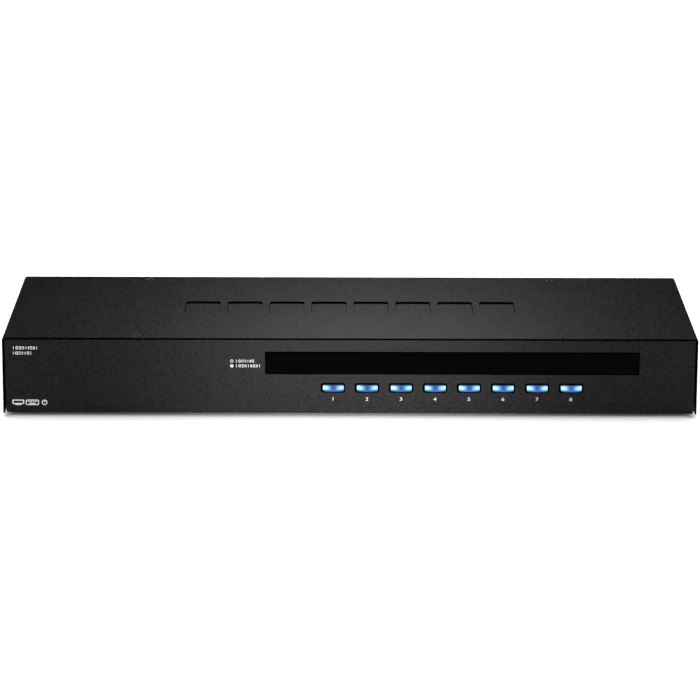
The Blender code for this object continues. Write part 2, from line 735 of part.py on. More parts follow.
def ring(radius_in, radius_out, centre, near, far, sides):
    """A tube cutter along Y."""
    x, z = centre
    outer = add_rod(radius_out, (x, near, z), (x, far, z), sides)
    inner = add_rod(radius_in, (x, near - 1 * MM, z), (x, far + 1 * MM, z), sides)
    return cut(outer, inner)


def make_ps2_stack():
    """Two round mini-DIN sockets for a keyboard and a mouse, one above the other."""
    wide, tall = PS2_SIZE
    z = CONNECTOR_BASE
    face = REAR + 0.4 * MM
    body = add_box((PS2_X - wide / 2, face - PS2_DEPTH, z), (PS2_X + wide / 2, face, z + tall))
    grooves = []
    for level in (7.0 * MM, 19.4 * MM):
        grooves.append(ring(3.5 * MM, 4.8 * MM, (PS2_X, z + level), face - 6 * MM, face + 1 * MM, 20))
    finish(cut(body, *grooves), "ps2_port_stack", TINNED_STEEL)


def make_power_jack():
    """A barrel jack: a block with a round socket and a pin in the middle of it."""
    wide, tall = JACK_SIZE
    z = CONNECTOR_BASE
    face = REAR + 0.4 * MM
    body = add_box((POWER_X - wide / 2, face - JACK_DEPTH, z), (POWER_X + wide / 2, face, z + tall))
    groove = ring(1.05 * MM, 3.15 * MM, (POWER_X, z + 6.4 * MM), face - 9 * MM, face + 1 * MM, 20)
    finish(cut(body, groove), "power_jack", BLACK_PLASTIC)


# ---- Build -------------------------------------------------------------------------------------
clear_scene()
PARTS = new_collection("kvm_switch")

BLACK_PAINT = material("black_paint", (0.022, 0.022, 0.024), 0.5)
BLACK_ZINC = material("black_zinc", (0.006, 0.006, 0.007), 0.4, 0.6)
RUBBER = material("rubber", (0.015, 0.015, 0.015), 0.9)
SMOKED_ACRYLIC = material("smoked_acrylic", (0.003, 0.003, 0.003), 0.12)
BLUE_PLASTIC = material("blue_plastic", (0.03, 0.17, 0.72), 0.15)
BLACK_PLASTIC = material("black_plastic", (0.012, 0.012, 0.013), 0.55)
GREY_PLASTIC = material("grey_plastic", (0.35, 0.35, 0.34), 0.5)
CLEAR_EPOXY = material("clear_epoxy", (0.75, 0.75, 0.72), 0.1)
CIRCUIT_BOARD = material("circuit_board", (0.01, 0.12, 0.035), 0.45)
TINNED_STEEL = material("tinned_steel", (0.62, 0.61, 0.58), 0.3, 1.0)

make_cover_screws()
make_feet()
make_display_window()
make_button_caps()
make_switches()
make_port_leds()
make_front_board()
make_main_board()
make_board_link()
make_buzzer()
make_video_ports()
make_usb_stack()
make_ps2_stack()
make_power_jack()
make_base_chassis()
make_top_cover()
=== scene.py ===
"""Looks of an eight-port rack-mount KVM switch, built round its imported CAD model.

Shapes are in millimetres in the row frame until an object is made. Lights and the camera are in metres.
"""
import json
import math

import bmesh
import bpy
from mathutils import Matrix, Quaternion, Vector

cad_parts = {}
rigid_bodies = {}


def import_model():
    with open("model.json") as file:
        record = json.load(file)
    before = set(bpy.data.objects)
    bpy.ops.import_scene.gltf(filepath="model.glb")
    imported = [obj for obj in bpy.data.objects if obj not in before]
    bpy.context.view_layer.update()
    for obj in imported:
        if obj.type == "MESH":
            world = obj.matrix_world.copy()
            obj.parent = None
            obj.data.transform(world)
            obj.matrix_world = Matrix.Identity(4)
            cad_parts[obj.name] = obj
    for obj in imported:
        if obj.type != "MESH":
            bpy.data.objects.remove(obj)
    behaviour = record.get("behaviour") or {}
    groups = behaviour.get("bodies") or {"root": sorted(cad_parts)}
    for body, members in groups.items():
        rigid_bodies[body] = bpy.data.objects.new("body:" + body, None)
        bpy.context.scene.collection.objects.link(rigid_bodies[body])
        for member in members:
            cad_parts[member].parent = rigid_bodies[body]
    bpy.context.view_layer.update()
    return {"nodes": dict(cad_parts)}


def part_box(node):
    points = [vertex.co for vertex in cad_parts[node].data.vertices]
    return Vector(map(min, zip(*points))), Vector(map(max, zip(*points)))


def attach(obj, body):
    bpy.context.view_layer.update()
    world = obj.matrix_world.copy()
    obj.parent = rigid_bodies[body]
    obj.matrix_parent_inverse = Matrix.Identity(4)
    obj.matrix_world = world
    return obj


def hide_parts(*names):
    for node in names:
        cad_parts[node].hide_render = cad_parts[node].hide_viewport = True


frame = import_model()

MM = 0.001


def node_box(node):
    """Lowest and highest corner of a CAD node, in millimetres."""
    low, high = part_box(node)
    return low / MM, high / MM


def middle(node):
    """The centre of a CAD node, in millimetres."""
    low, high = node_box(node)
    return (low + high) / 2


# ---- Driving dimensions, from the frame --------------------------------------------------------
COVER_LOW, COVER_HIGH = node_box("top_cover")
BASE_LOW, BASE_HIGH = node_box("base_chassis")
FRONT = BASE_LOW.y               # outer face of the front panel
REAR = BASE_HIGH.y               # outer face of the rear panel
FLOOR = BASE_LOW.z               # underside of the base
BASE_SIDE = BASE_HIGH.x
TOP = COVER_HIGH.z
SIDE = COVER_HIGH.x
SKIRT = COVER_LOW.z              # where the cover's side walls end

PORTS = range(1, 9)
CAPS = [middle(f"button_cap_{n}") for n in PORTS]
BUTTON_Z = CAPS[0].z
WINDOW_LOW, WINDOW_HIGH = node_box("display_window")
CORNERS = ("front_left", "front_right", "rear_left", "rear_right")
VIDEO_PORTS = [f"pc_port_{n}" for n in PORTS] + ["chain_port", "console_video_port"]
VIDEO_Z = middle("pc_port_1").z

# ---- Dimensions that the frame's boxes don't give ----------------------------------------------
SHEET = 1.0
COVER_SHEET = 0.8
COVER_BEND = 1.6                 # outer radius of the cover's folds
BASE_BEND = 0.5
SEAM = 0.15                      # what shows between the cover's front edge and the base's lip
PAINT_EDGE = 0.14                # how far the paint rounds the edges of an opening
GAP = 0.3
END_GAP = 0.3                    # how far the front panel's ends stop short of the base's widest part
WINDOW_FLANGE = 2.0              # how far the window's flange reaches behind the panel
OPENING_RADIUS = 0.6
CAP_SIZE = (11.8, 3.65)          # the cap's face, which is a little smaller than its CAD block
CAP_SHIFT = (0.15, -0.41)        # how far the face's middle is from the slot's middle
CAP_CROWN = 1.1
BUTTON_SLOT = (13.6, 5.45)
SLOT_DROP = 0.15                 # the slot's middle is this far under the button's axis
CAP_END_PROUD = 0.3
FRONT_LIP = 12.0
REAR_LIP = 10.0
SIDE_LIPS = ((46, REAR - FRONT - 4, 9), (4, 45, 39))     # from and to, behind the front panel, and height
STAMP_SIZE = (20.2, 29.0)
STAMP_PITCH = 24.6
STAMP_RADIUS = 2.6
STAMP_DEPTH = 1.2
STAMP_Y = (FRONT + REAR) / 2 - 2.3
VENT_SIZE = (2.2, 18.0)
VENT_PITCH = 5.0
VENT_FIRST_Y = FRONT + 60
VENTS = 13
VENT_Z = FLOOR + 22
EAR_HOLES = [(FRONT + y, FLOOR + z) for y in (12, 36) for z in (10, 34)]
EAR_HOLE_RADIUS = 2.2
BOARD_POSTS = [(x, FRONT + y) for y in (30, 112) for x in (-175, -60, 60, 175)]
SCREW_HEAD = 2.9
SCREW_SHANK = 1.5
SCREW_SUNK = 0.2                 # where the head's cone starts, under the cover's face
THREAD_PITCH = 0.5
SHELL_SIZE = (16.9, 8.4)
SOCKET_ROOM = 0.8                # how much wider than its socket an opening in the rear panel is
JACKSCREW_X = 12.5
PS2_SOCKETS = (7.0, 19.4)        # heights above the bottom of the stack
JACK_SOCKET = 6.4


# ---- Outlines: each is a function of how far the outline has grown -----------------------------
def rounded(width, height, radius, steps=5):
    """A rectangle with round corners."""
    def outline(growth=0.0):
        points = []
        bend = max(radius + growth, 0.02)
        for quarter, (sx, sy) in enumerate(((1, 1), (-1, 1), (-1, -1), (1, -1))):
            cx = sx * (width / 2 + growth - bend)
            cy = sy * (height / 2 + growth - bend)
            for i in range(steps + 1):
                angle = (quarter + i / steps) * math.pi / 2
                points.append((cx + bend * math.cos(angle), cy + bend * math.sin(angle)))
        return points
    return outline


def circle(radius, count=32):
    """A circle, or a polygon when count is small."""
    def outline(growth=0.0):
        reach = max(radius + growth, 0.01)
        return [
            (reach * math.cos(math.tau * i / count), reach * math.sin(math.tau * i / count))
            for i in range(count)
        ]
    return outline


def d_shape(width, height, radius, slant=10.0, steps=5):
    """A D-sub shell: wider at the top, with slanting ends and round corners."""
    def outline(growth=0.0):
        wide, tall, bend = width / 2 + growth, height / 2 + growth, max(radius + growth, 0.2)
        lean = math.tan(math.radians(slant)) * height / 2
        corners = [(wide, tall), (-wide, tall), (-wide + 2 * lean, -tall), (wide - 2 * lean, -tall)]
        points = []
        for i, corner in enumerate(corners):
            before, after = corners[i - 1], corners[(i + 1) % 4]
            towards = [math.atan2(p[1] - corner[1], p[0] - corner[0]) for p in (before, after)]
            opening = (towards[0] - towards[1]) % math.tau
            halfway = towards[1] + opening / 2
            reach = bend / math.sin(opening / 2)
            cx = corner[0] + reach * math.cos(halfway)
            cy = corner[1] + reach * math.sin(halfway)
            first = towards[0] + math.pi / 2
            for k in range(steps + 1):
                angle = first + (math.pi - opening) * k / steps
                points.append((cx + bend * math.cos(angle), cy + bend * math.sin(angle)))
        return points
    return outline


# ---- Shapes ------------------------------------------------------------------------------------
AXES = {"X": Vector((1, 0, 0)), "Y": Vector((0, 1, 0)), "Z": Vector((0, 0, 1))}


def placed(outline, centre, along):
    """An outline's points in space, standing across the axis that along names."""
    cx, cy, cz = centre
    if along == "X":
        return [(cx, cy + u, cz + v) for u, v in outline]
    if along == "Y":
        return [(cx + u, cy, cz + v) for u, v in outline]
    return [(cx + u, cy + v, cz) for u, v in outline]


class Shape:
    """Closed forms in millimetres, gathered into one mesh."""

    def __init__(self):
        self.mesh = bmesh.new()

    def loft(self, rings, hollow=False):
        """A skin over rings of equally many points, closed by end faces, or end to end if hollow."""
        loops = [[self.mesh.verts.new(point) for point in ring] for ring in rings]
        pairs = list(zip(loops, loops[1:]))
        if hollow:
            pairs.append((loops[-1], loops[0]))
        for near, far in pairs:
            for i in range(len(near)):
                self.mesh.faces.new((near[i - 1], near[i], far[i], far[i - 1]))
        if not hollow:
            self.mesh.faces.new(loops[0])
            self.mesh.faces.new(loops[-1])
        return self

    def pulled(self, outline, centre, steps, along="Y", hollow=False):
        """An outline drawn along an axis: each step is (distance from centre, growth)."""
        rings = []
        for distance, growth in steps:
            rings.append(placed(outline(growth), Vector(centre) + AXES[along] * distance, along))
        return self.loft(rings, hollow)

    def block(self, low, high, edge=0.15):
        """A block with eased edges and corners."""
        low, high = Vector(low), Vector(high)
        wide, deep, tall = high - low
        outline = rounded(wide, deep, edge, steps=2)
        steps = [(0, -edge), (edge * 0.3, -edge * 0.3), (edge, 0)]
        steps += [(tall - edge, 0), (tall - edge * 0.3, -edge * 0.3), (tall, -edge)]
        centre = ((low.x + high.x) / 2, (low.y + high.y) / 2, low.z)
        return self.pulled(outline, centre, steps, "Z")

    def made(self, name):
        """The object, in metres."""
        bmesh.ops.recalc_face_normals(self.mesh, faces=self.mesh.faces)
        bmesh.ops.scale(self.mesh, vec=(MM, MM, MM), verts=self.mesh.verts)
        data = bpy.data.meshes.new(name)
        self.mesh.to_mesh(data)
        self.mesh.free()
        obj = bpy.data.objects.new(name, data)
        bpy.context.scene.collection.objects.link(obj)
        return obj


def folded(points, sheet, bend, steps=8):
    """The closed outline of a bent sheet with square folds: along its outer side and back inside."""
    points = [Vector(point) for point in points]
    tight = max(bend - sheet, 0.1)
    ways = [(b - a).normalized() for a, b in zip(points, points[1:])]
    outer, inner = [points[0]], [points[0] + ways[1] * sheet]
    for corner, way_in, way_out in zip(points[1:-1], ways, ways[1:]):
        inwards = way_out - way_in
        for i in range(steps + 1):
            angle = math.pi / 2 * i / steps
            ray = way_in * math.sin(angle) - way_out * math.cos(angle)
            outer.append(corner + inwards * bend + ray * bend)
            inner.append(corner + inwards * (sheet + tight) + ray * tight)
    outer.append(points[-1])
    inner.append(points[-1] - ways[-2] * sheet)
    return outer + inner[::-1]


def evaluated_mesh(obj):
    """A plain mesh of what an object with modifiers, or a text object, comes out as."""
    bpy.context.view_layer.update()
    graph = bpy.context.evaluated_depsgraph_get()
    return bpy.data.meshes.new_from_object(obj.evaluated_get(graph), depsgraph=graph)


def combined(obj, operation, tools):
    """obj cut by a shape's forms or joined to them, as one plain mesh."""
    tool = tools.made("tools")
    step = obj.modifiers.new("combined", "BOOLEAN")
    step.operation = operation
    step.object = tool
    step.solver = "EXACT"
    data = evaluated_mesh(obj)
    obj.modifiers.clear()
    obj.data = data
    bpy.data.objects.remove(tool)
    return obj


# ---- Materials ---------------------------------------------------------------------------------
NOISE_RANGE = (0.38, 0.62)       # the part of a noise that a finish spreads over its two ends


def add_node(tree, kind, values=(), joins=(), **settings):
    """A new node with its settings, its inputs' values, and what its inputs are joined to."""
    node = tree.nodes.new(kind)
    for setting, value in settings.items():
        setattr(node, setting, value)
    for socket, value in dict(values).items():
        node.inputs[socket].default_value = value
    for socket, source in dict(joins).items():
        tree.links.new(source, node.inputs[socket])
    return node


def mapped(tree, source, low, high, to_low, to_high):
    """A value brought from the range low to high into the range to_low to to_high."""
    ends = {"From Min": low, "From Max": high, "To Min": to_low, "To Max": to_high}
    return add_node(tree, "ShaderNodeMapRange", ends, {"Value": source}).outputs["Result"]


def blended(tree, amount, colour, tone):
    """A colour that gives way to a tone where the amount is high."""
    joins = {0: amount, 6: colour}
    return add_node(tree, "ShaderNodeMix", {7: (*tone, 1)}, joins, data_type="RGBA").outputs[2]


def finish(
    name, dark, light, roughness, grain, height, patch=18.0, share=0.5, stretch=(1, 1, 1), **sockets
):
    """A finish whose colour and gloss wander in soft patches under a fine raised grain.

    dark and light are the two tones and roughness is a pair too. grain is the size of the raised grain and
    height how far it stands up, both in millimetres. patch is the size of the patches, and share is how
    much of the variation is theirs and not the grain's.
    """
    made = bpy.data.materials.new(name)
    made.use_nodes = True
    tree = made.node_tree
    shader = tree.nodes["Principled BSDF"]
    place = add_node(tree, "ShaderNodeTexCoord").outputs["Object"]
    scaled = add_node(tree, "ShaderNodeMapping", {"Scale": stretch}, {"Vector": place}).outputs["Vector"]

    def noise(size, detail):
        values = {"Scale": 1 / (size * MM), "Detail": detail}
        return add_node(tree, "ShaderNodeTexNoise", values, {"Vector": scaled}).outputs["Fac"]

    patches = noise(patch, 4.0)
    fine = noise(grain, 3.0)
    mix = add_node(tree, "ShaderNodeMix", {"Factor": share}, {"A": fine, "B": patches})
    variation = mix.outputs["Result"]
    tone = add_node(tree, "ShaderNodeValToRGB", joins={"Fac": variation})
    for stop, position, colour in zip(tone.color_ramp.elements, NOISE_RANGE, (dark, light)):
        stop.position = position
        stop.color = (*colour, 1)
    gloss = mapped(tree, variation, *NOISE_RANGE, *roughness)
    grain_size = {"Strength": 1.0, "Distance": height * MM}
    raised = add_node(tree, "ShaderNodeBump", grain_size, {"Height": fine})
    tree.links.new(tone.outputs["Color"], shader.inputs["Base Color"])
    tree.links.new(gloss, shader.inputs["Roughness"])
    tree.links.new(raised.outputs["Normal"], shader.inputs["Normal"])
    for socket, value in sockets.items():
        shader.inputs[socket.replace("_", " ")].default_value = value
    return made


def base_colour(material):
    """The material's node tree, the socket that takes its colour, and what is joined to it now."""
    tree = material.node_tree
    socket = tree.nodes["Principled BSDF"].inputs["Base Color"]
    return tree, socket, socket.links[0].from_socket


def board_finish():
    """Green solder mask with lighter copper tracks under it and small tinned vias."""
    made = finish("circuit_board", (0.006, 0.085, 0.028), (0.009, 0.11, 0.036), (0.3, 0.4), 0.8, 0.004)
    tree, socket, colour = base_colour(made)
    scaled = next(node for node in tree.nodes if node.bl_idname == "ShaderNodeMapping")

    def pattern(size, feature, distance, low, high):
        cells = add_node(
            tree, "ShaderNodeTexVoronoi", {"Scale": 1 / (size * MM), "Randomness": 0.7},
            {"Vector": scaled.outputs["Vector"]}, feature=feature, distance=distance,
        )
        return mapped(tree, cells.outputs["Distance"], low, high, 1.0, 0.0)

    tracks = pattern(4.5, "DISTANCE_TO_EDGE", "EUCLIDEAN", 0.03, 0.05)
    vias = pattern(6.0, "F1", "CHEBYCHEV", 0.06, 0.08)
    colour = blended(tree, tracks, colour, (0.03, 0.24, 0.08))
    colour = blended(tree, vias, colour, (0.62, 0.6, 0.5))
    tree.links.new(colour, socket)
    return made


def cap_finish():
    """Glossy translucent blue, with a painted highlight that makes it pale towards the cap's ends, and
    painted shade that makes it navy along its foot.
    """
    made = finish(
        "cap_blue", (0.020, 0.088, 0.29), (0.024, 0.100, 0.32), (0.16, 0.22), 0.5, 0.0015,
        Specular_IOR_Level=0.35, Coat_Weight=0.15, Coat_Roughness=0.12,
    )
    tree, socket, colour = base_colour(made)
    place = next(node for node in tree.nodes if node.bl_idname == "ShaderNodeTexCoord")
    split = add_node(tree, "ShaderNodeSeparateXYZ", joins={"Vector": place.outputs["Generated"]})

    def profile(axis, stops):
        """How much of a tone there is along an axis of the cap: stops are (place, amount)."""
        made_ramp = add_node(tree, "ShaderNodeValToRGB", joins={"Fac": split.outputs[axis]})
        ramp = made_ramp.color_ramp
        ramp.interpolation = "EASE"
        ramp.elements.remove(ramp.elements[1])
        for i, (position, amount) in enumerate(stops):
            stop = ramp.elements.new(position) if i else ramp.elements[0]
            stop.position = position
            stop.color = (amount, amount, amount, 1)
        return made_ramp.outputs["Color"]

    # Painted highlight: paler towards both ends of the cap and in its upper part, where the side lights
    # would glint.
    ends = profile("X", ((0.0, 1.0), (0.10, 1.0), (0.46, 0.0), (0.54, 0.0), (0.86, 0.75), (1.0, 0.75)))
    height = profile("Z", ((0.18, 0.0), (0.46, 1.0), (0.80, 1.0), (1.0, 0.15)))
    painted_highlight = add_node(tree, "ShaderNodeMath", joins={0: ends, 1: height}, operation="MULTIPLY")
    # Painted shade: navy along the cap's lower edge, which faces down.
    foot = profile("Z", ((0.0, 1.0), (0.28, 0.0)))
    colour = blended(tree, painted_highlight.outputs[0], colour, (0.42, 0.80, 1.0))
    colour = blended(tree, foot, colour, (0.004, 0.018, 0.13))
    tree.links.new(colour, socket)
    return made


PAINT = finish(
    "powder_coat", (0.0006, 0.0006, 0.0008), (0.0056, 0.0056, 0.0062), (0.29, 0.60), 1.1, 0.055,
    patch=30.0, share=0.06, Specular_IOR_Level=0.09,
)
# Near-black, flat finish: the sheets' darker cut edges, and painted shade wherever it is put on seams,
# gaps, recess walls and openings.
EDGE_AND_PAINTED_SHADE = finish("cut_edge_and_painted_shade", (0.0001, 0.0001, 0.0001), (0.0003, 0.0003, 0.0003), (0.6, 0.7), 0.4, 0.01,
              Specular_IOR_Level=0.0)
SCREW = finish("black_zinc", (0.0002, 0.0002, 0.0002), (0.0006, 0.0006, 0.0007), (0.45, 0.6), 0.3, 0.006,
               Specular_IOR_Level=0.004)
RUBBER = finish("rubber", (0.010, 0.010, 0.010), (0.018, 0.018, 0.018), (0.75, 0.9), 0.35, 0.02,
                Specular_IOR_Level=0.3)
WINDOW = finish(
    "smoked_acrylic", (0.0003, 0.0003, 0.0004), (0.0005, 0.0005, 0.0006), (0.07, 0.11), 6.0, 0.001,
    patch=40.0, Specular_IOR_Level=0.012,
)
CAP = cap_finish()
INK = finish("white_ink", (0.50, 0.50, 0.50), (0.58, 0.58, 0.58), (0.5, 0.6), 0.25, 0.004)
THIN_INK = finish("thin_white_ink", (0.33, 0.33, 0.34), (0.39, 0.39, 0.40), (0.5, 0.6), 0.25, 0.004)
BLACK_PLASTIC = finish("black_plastic", (0.008, 0.008, 0.009), (0.016, 0.016, 0.017), (0.45, 0.6),
                       0.3, 0.008)
CHIP = finish("chip_resin", (0.012, 0.012, 0.013), (0.026, 0.026, 0.027), (0.55, 0.7), 0.12, 0.006)
GREY_PLASTIC = finish("grey_plastic", (0.30, 0.30, 0.29), (0.38, 0.38, 0.37), (0.4, 0.5), 0.3, 0.004)
BLUE_INSERT = finish("blue_insert", (0.012, 0.05, 0.36), (0.018, 0.07, 0.45), (0.35, 0.45), 0.3, 0.004)
PURPLE = finish("purple_insert", (0.13, 0.05, 0.28), (0.17, 0.07, 0.36), (0.35, 0.45), 0.3, 0.004)
GREEN = finish("green_insert", (0.03, 0.25, 0.08), (0.05, 0.33, 0.11), (0.35, 0.45), 0.3, 0.004)
EPOXY = finish("clear_epoxy", (0.80, 0.80, 0.77), (0.88, 0.88, 0.85), (0.05, 0.1), 0.8, 0.001,
               Transmission_Weight=0.8)
BOARD = board_finish()
TINNED = finish("tinned_steel", (0.50, 0.49, 0.46), (0.66, 0.65, 0.62), (0.22, 0.38), 0.5, 0.004,
                patch=5.0, stretch=(1, 1, 4), Metallic=1.0)
GOLD = finish("gold_contact", (0.62, 0.42, 0.14), (0.76, 0.55, 0.22), (0.18, 0.28), 0.2, 0.001,
              Metallic=1.0)
CAN = finish("aluminium_can", (0.60, 0.60, 0.61), (0.72, 0.72, 0.73), (0.2, 0.32), 0.3, 0.003,
             stretch=(1, 1, 6), Metallic=1.0)
FLOOR_WHITE = finish("studio_floor", (0.86, 0.86, 0.86), (0.88, 0.88, 0.88), (0.8, 0.9), 3.0, 0.01,
                     patch=200.0, Specular_IOR_Level=0.1)


# ---- Pieces ------------------------------------------------------------------------------------
def smooth(obj, angle=35.0, weighted=False):
    """Smooth shading that keeps every edge sharper than the angle crisp."""
    obj.data.shade_smooth()
    obj.data.set_sharp_from_angle(angle=math.radians(angle))
    if weighted:
        step = obj.modifiers.new("weighted_normals", "WEIGHTED_NORMAL")
        step.keep_sharp = True


def piece(shape, name, material, body="case", replaces=(), angle=35.0):
    """A finished piece: made, painted, riding on its body and standing for its CAD nodes."""
    obj = shape.made(name) if isinstance(shape, Shape) else shape
    obj.name = name
    if not obj.data.materials:
        obj.data.materials.append(material)
    smooth(obj, angle)
    return settle(obj, body, replaces)


def settle(obj, body="case", replaces=()):
    """Puts a piece on its body and hides the CAD nodes it stands for."""
    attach(obj, body)
    if replaces:
        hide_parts(*replaces)
    return obj


def bored(shape, name, tools, material, replaces=()):
    """A form with holes in it, as a finished piece."""
    obj = combined(shape.made(name), "DIFFERENCE", tools)
    obj.data.materials.append(material)
    return piece(obj, name, material, replaces=replaces)


def twin(first, number, name):
    """The first object itself when number is 0, and otherwise one more object with its mesh."""
    if number == 0:
        obj = first
    else:
        obj = bpy.data.objects.new(name, first.data)
        bpy.context.scene.collection.objects.link(obj)
    obj.name = name
    return obj


def numbered(name):
    """The names of the eight pieces of a kind, one for each port."""
    return [f"{name}_{n}" for n in PORTS]


def repeated(shape, names, offsets, material, bodies=None, replaces=None, angle=35.0):
    """The same piece several times, each moved from the first one's place by its own offset."""
    first = shape.made(names[0])
    first.data.materials.append(material)
    smooth(first, angle)
    for i, (name, offset) in enumerate(zip(names, offsets)):
        obj = twin(first, i, name)
        obj.location = Vector(offset) * MM
        settle(obj, bodies[i] if bodies else "case", (replaces[i],) if replaces else ())


def paint_faces(obj, materials, choose):
    """Gives each face of obj the material whose number choose(centre, normal) says; centre is in mm."""
    obj.data.materials.clear()
    for material in materials:
        obj.data.materials.append(material)
    for face in obj.data.polygons:
        face.material_index = choose(face.center / MM, face.normal)


def countersink(shape, x, y):
    """The cutter for one dished screw hole in the cover."""
    rim, throat = SCREW_HEAD + GAP, SCREW_SHANK + GAP
    steps = [(1.0, rim + 0.15), (0.0, rim + 0.15), (-0.12, rim)]
    steps += [(throat - rim - 0.12, throat), (-1.6, throat)]
    shape.pulled(circle(0.0), (x, y, TOP), steps, "Z")


def eased(start, way, through, growth=PAINT_EDGE):
    """Steps of a cutter that goes in through a face and leaves its edge rounded."""
    inward = [(-1.0, growth), (0.0, growth), (0.08 * growth / 0.25, 0.5 * growth)]
    inward += [(0.55 * growth, 0.15 * growth), (growth, 0.0), (through, 0.0)]
    return [(start + way * distance, grown) for distance, grown in inward]


def make_cover():
    """The folded cover: pressed tablets, countersunk screw holes, side vents and the ears' holes."""
    outline = folded([(-SIDE, SKIRT), (-SIDE, TOP), (SIDE, TOP), (SIDE, SKIRT)], COVER_SHEET, COVER_BEND)
    shape = Shape()
    shape.loft([[(x, y, z) for x, z in outline] for y in (FRONT, REAR)])
    cover = shape.made("cover_shell")
    wide, tall = STAMP_SIZE
    tablet = rounded(wide, tall, STAMP_RADIUS, steps=8)
    bulges, dishes = Shape(), Shape()
    low = TOP - STAMP_DEPTH
    for n in PORTS:
        place = ((n - 4.5) * STAMP_PITCH, STAMP_Y, 0)
        under = low - COVER_SHEET
        bulge = [(TOP - 0.4, 1.0), (TOP - COVER_SHEET, 0.9), (under + 0.3, 0.6), (under, 0.2)]
        bulges.pulled(tablet, place, bulge, "Z")
        dish = [(TOP + 1, 0.12), (TOP, 0.12), (TOP - 0.06, 0.03), (TOP - 0.16, 0.0)]
        dish += [(low + 0.12, -0.06), (low + 0.03, -0.12), (low, -0.25)]
        dishes.pulled(tablet, place, dish, "Z")
    for name in CORNERS:
        x, y, _ = middle(f"cover_screw_{name}")
        countersink(dishes, x, y)
    for side in (-1, 1):
        for i in range(VENTS):
            centre = (0, VENT_FIRST_Y + i * VENT_PITCH, VENT_Z)
            slit = rounded(*VENT_SIZE, VENT_SIZE[0] / 2 - 0.01, steps=4)
            dishes.pulled(slit, centre, eased(side * SIDE, -side, 2.0), "X")
        for y, z in EAR_HOLES:
            dishes.pulled(circle(EAR_HOLE_RADIUS, 20), (0, y, z), eased(side * SIDE, -side, 2.0), "X")
    combined(cover, "UNION", bulges)
    combined(cover, "DIFFERENCE", dishes)

    screws = [middle(f"cover_screw_{name}") for name in CORNERS]

    # Faces that take the second material: the cover's front and rear cut edges, darker than the paint and
    # also painted shade for the seam, and the walls of the screw dishes and pressed tablets, as painted
    # shade in these recesses.
    def choose(centre, normal):
        if abs(normal.y) > 0.99 and (centre.y < FRONT + 0.01 or centre.y > REAR - 0.01):
            return 1
        near_screw = any(math.hypot(centre.x - s.x, centre.y - s.y) < SCREW_HEAD + 0.6 for s in screws)
        if near_screw and abs(normal.z) < 0.99:
            return 1
        pressed = abs(centre.y - STAMP_Y) < tall / 2 + 0.5 and low < centre.z < TOP - 0.01
        return 1 if pressed and abs(normal.z) < 0.75 and centre.z > low - 0.01 else 0

    paint_faces(cover, (PAINT, EDGE_AND_PAINTED_SHADE), choose)
    smooth(cover, 30.0, weighted=True)
    settle(cover, replaces=("top_cover",))


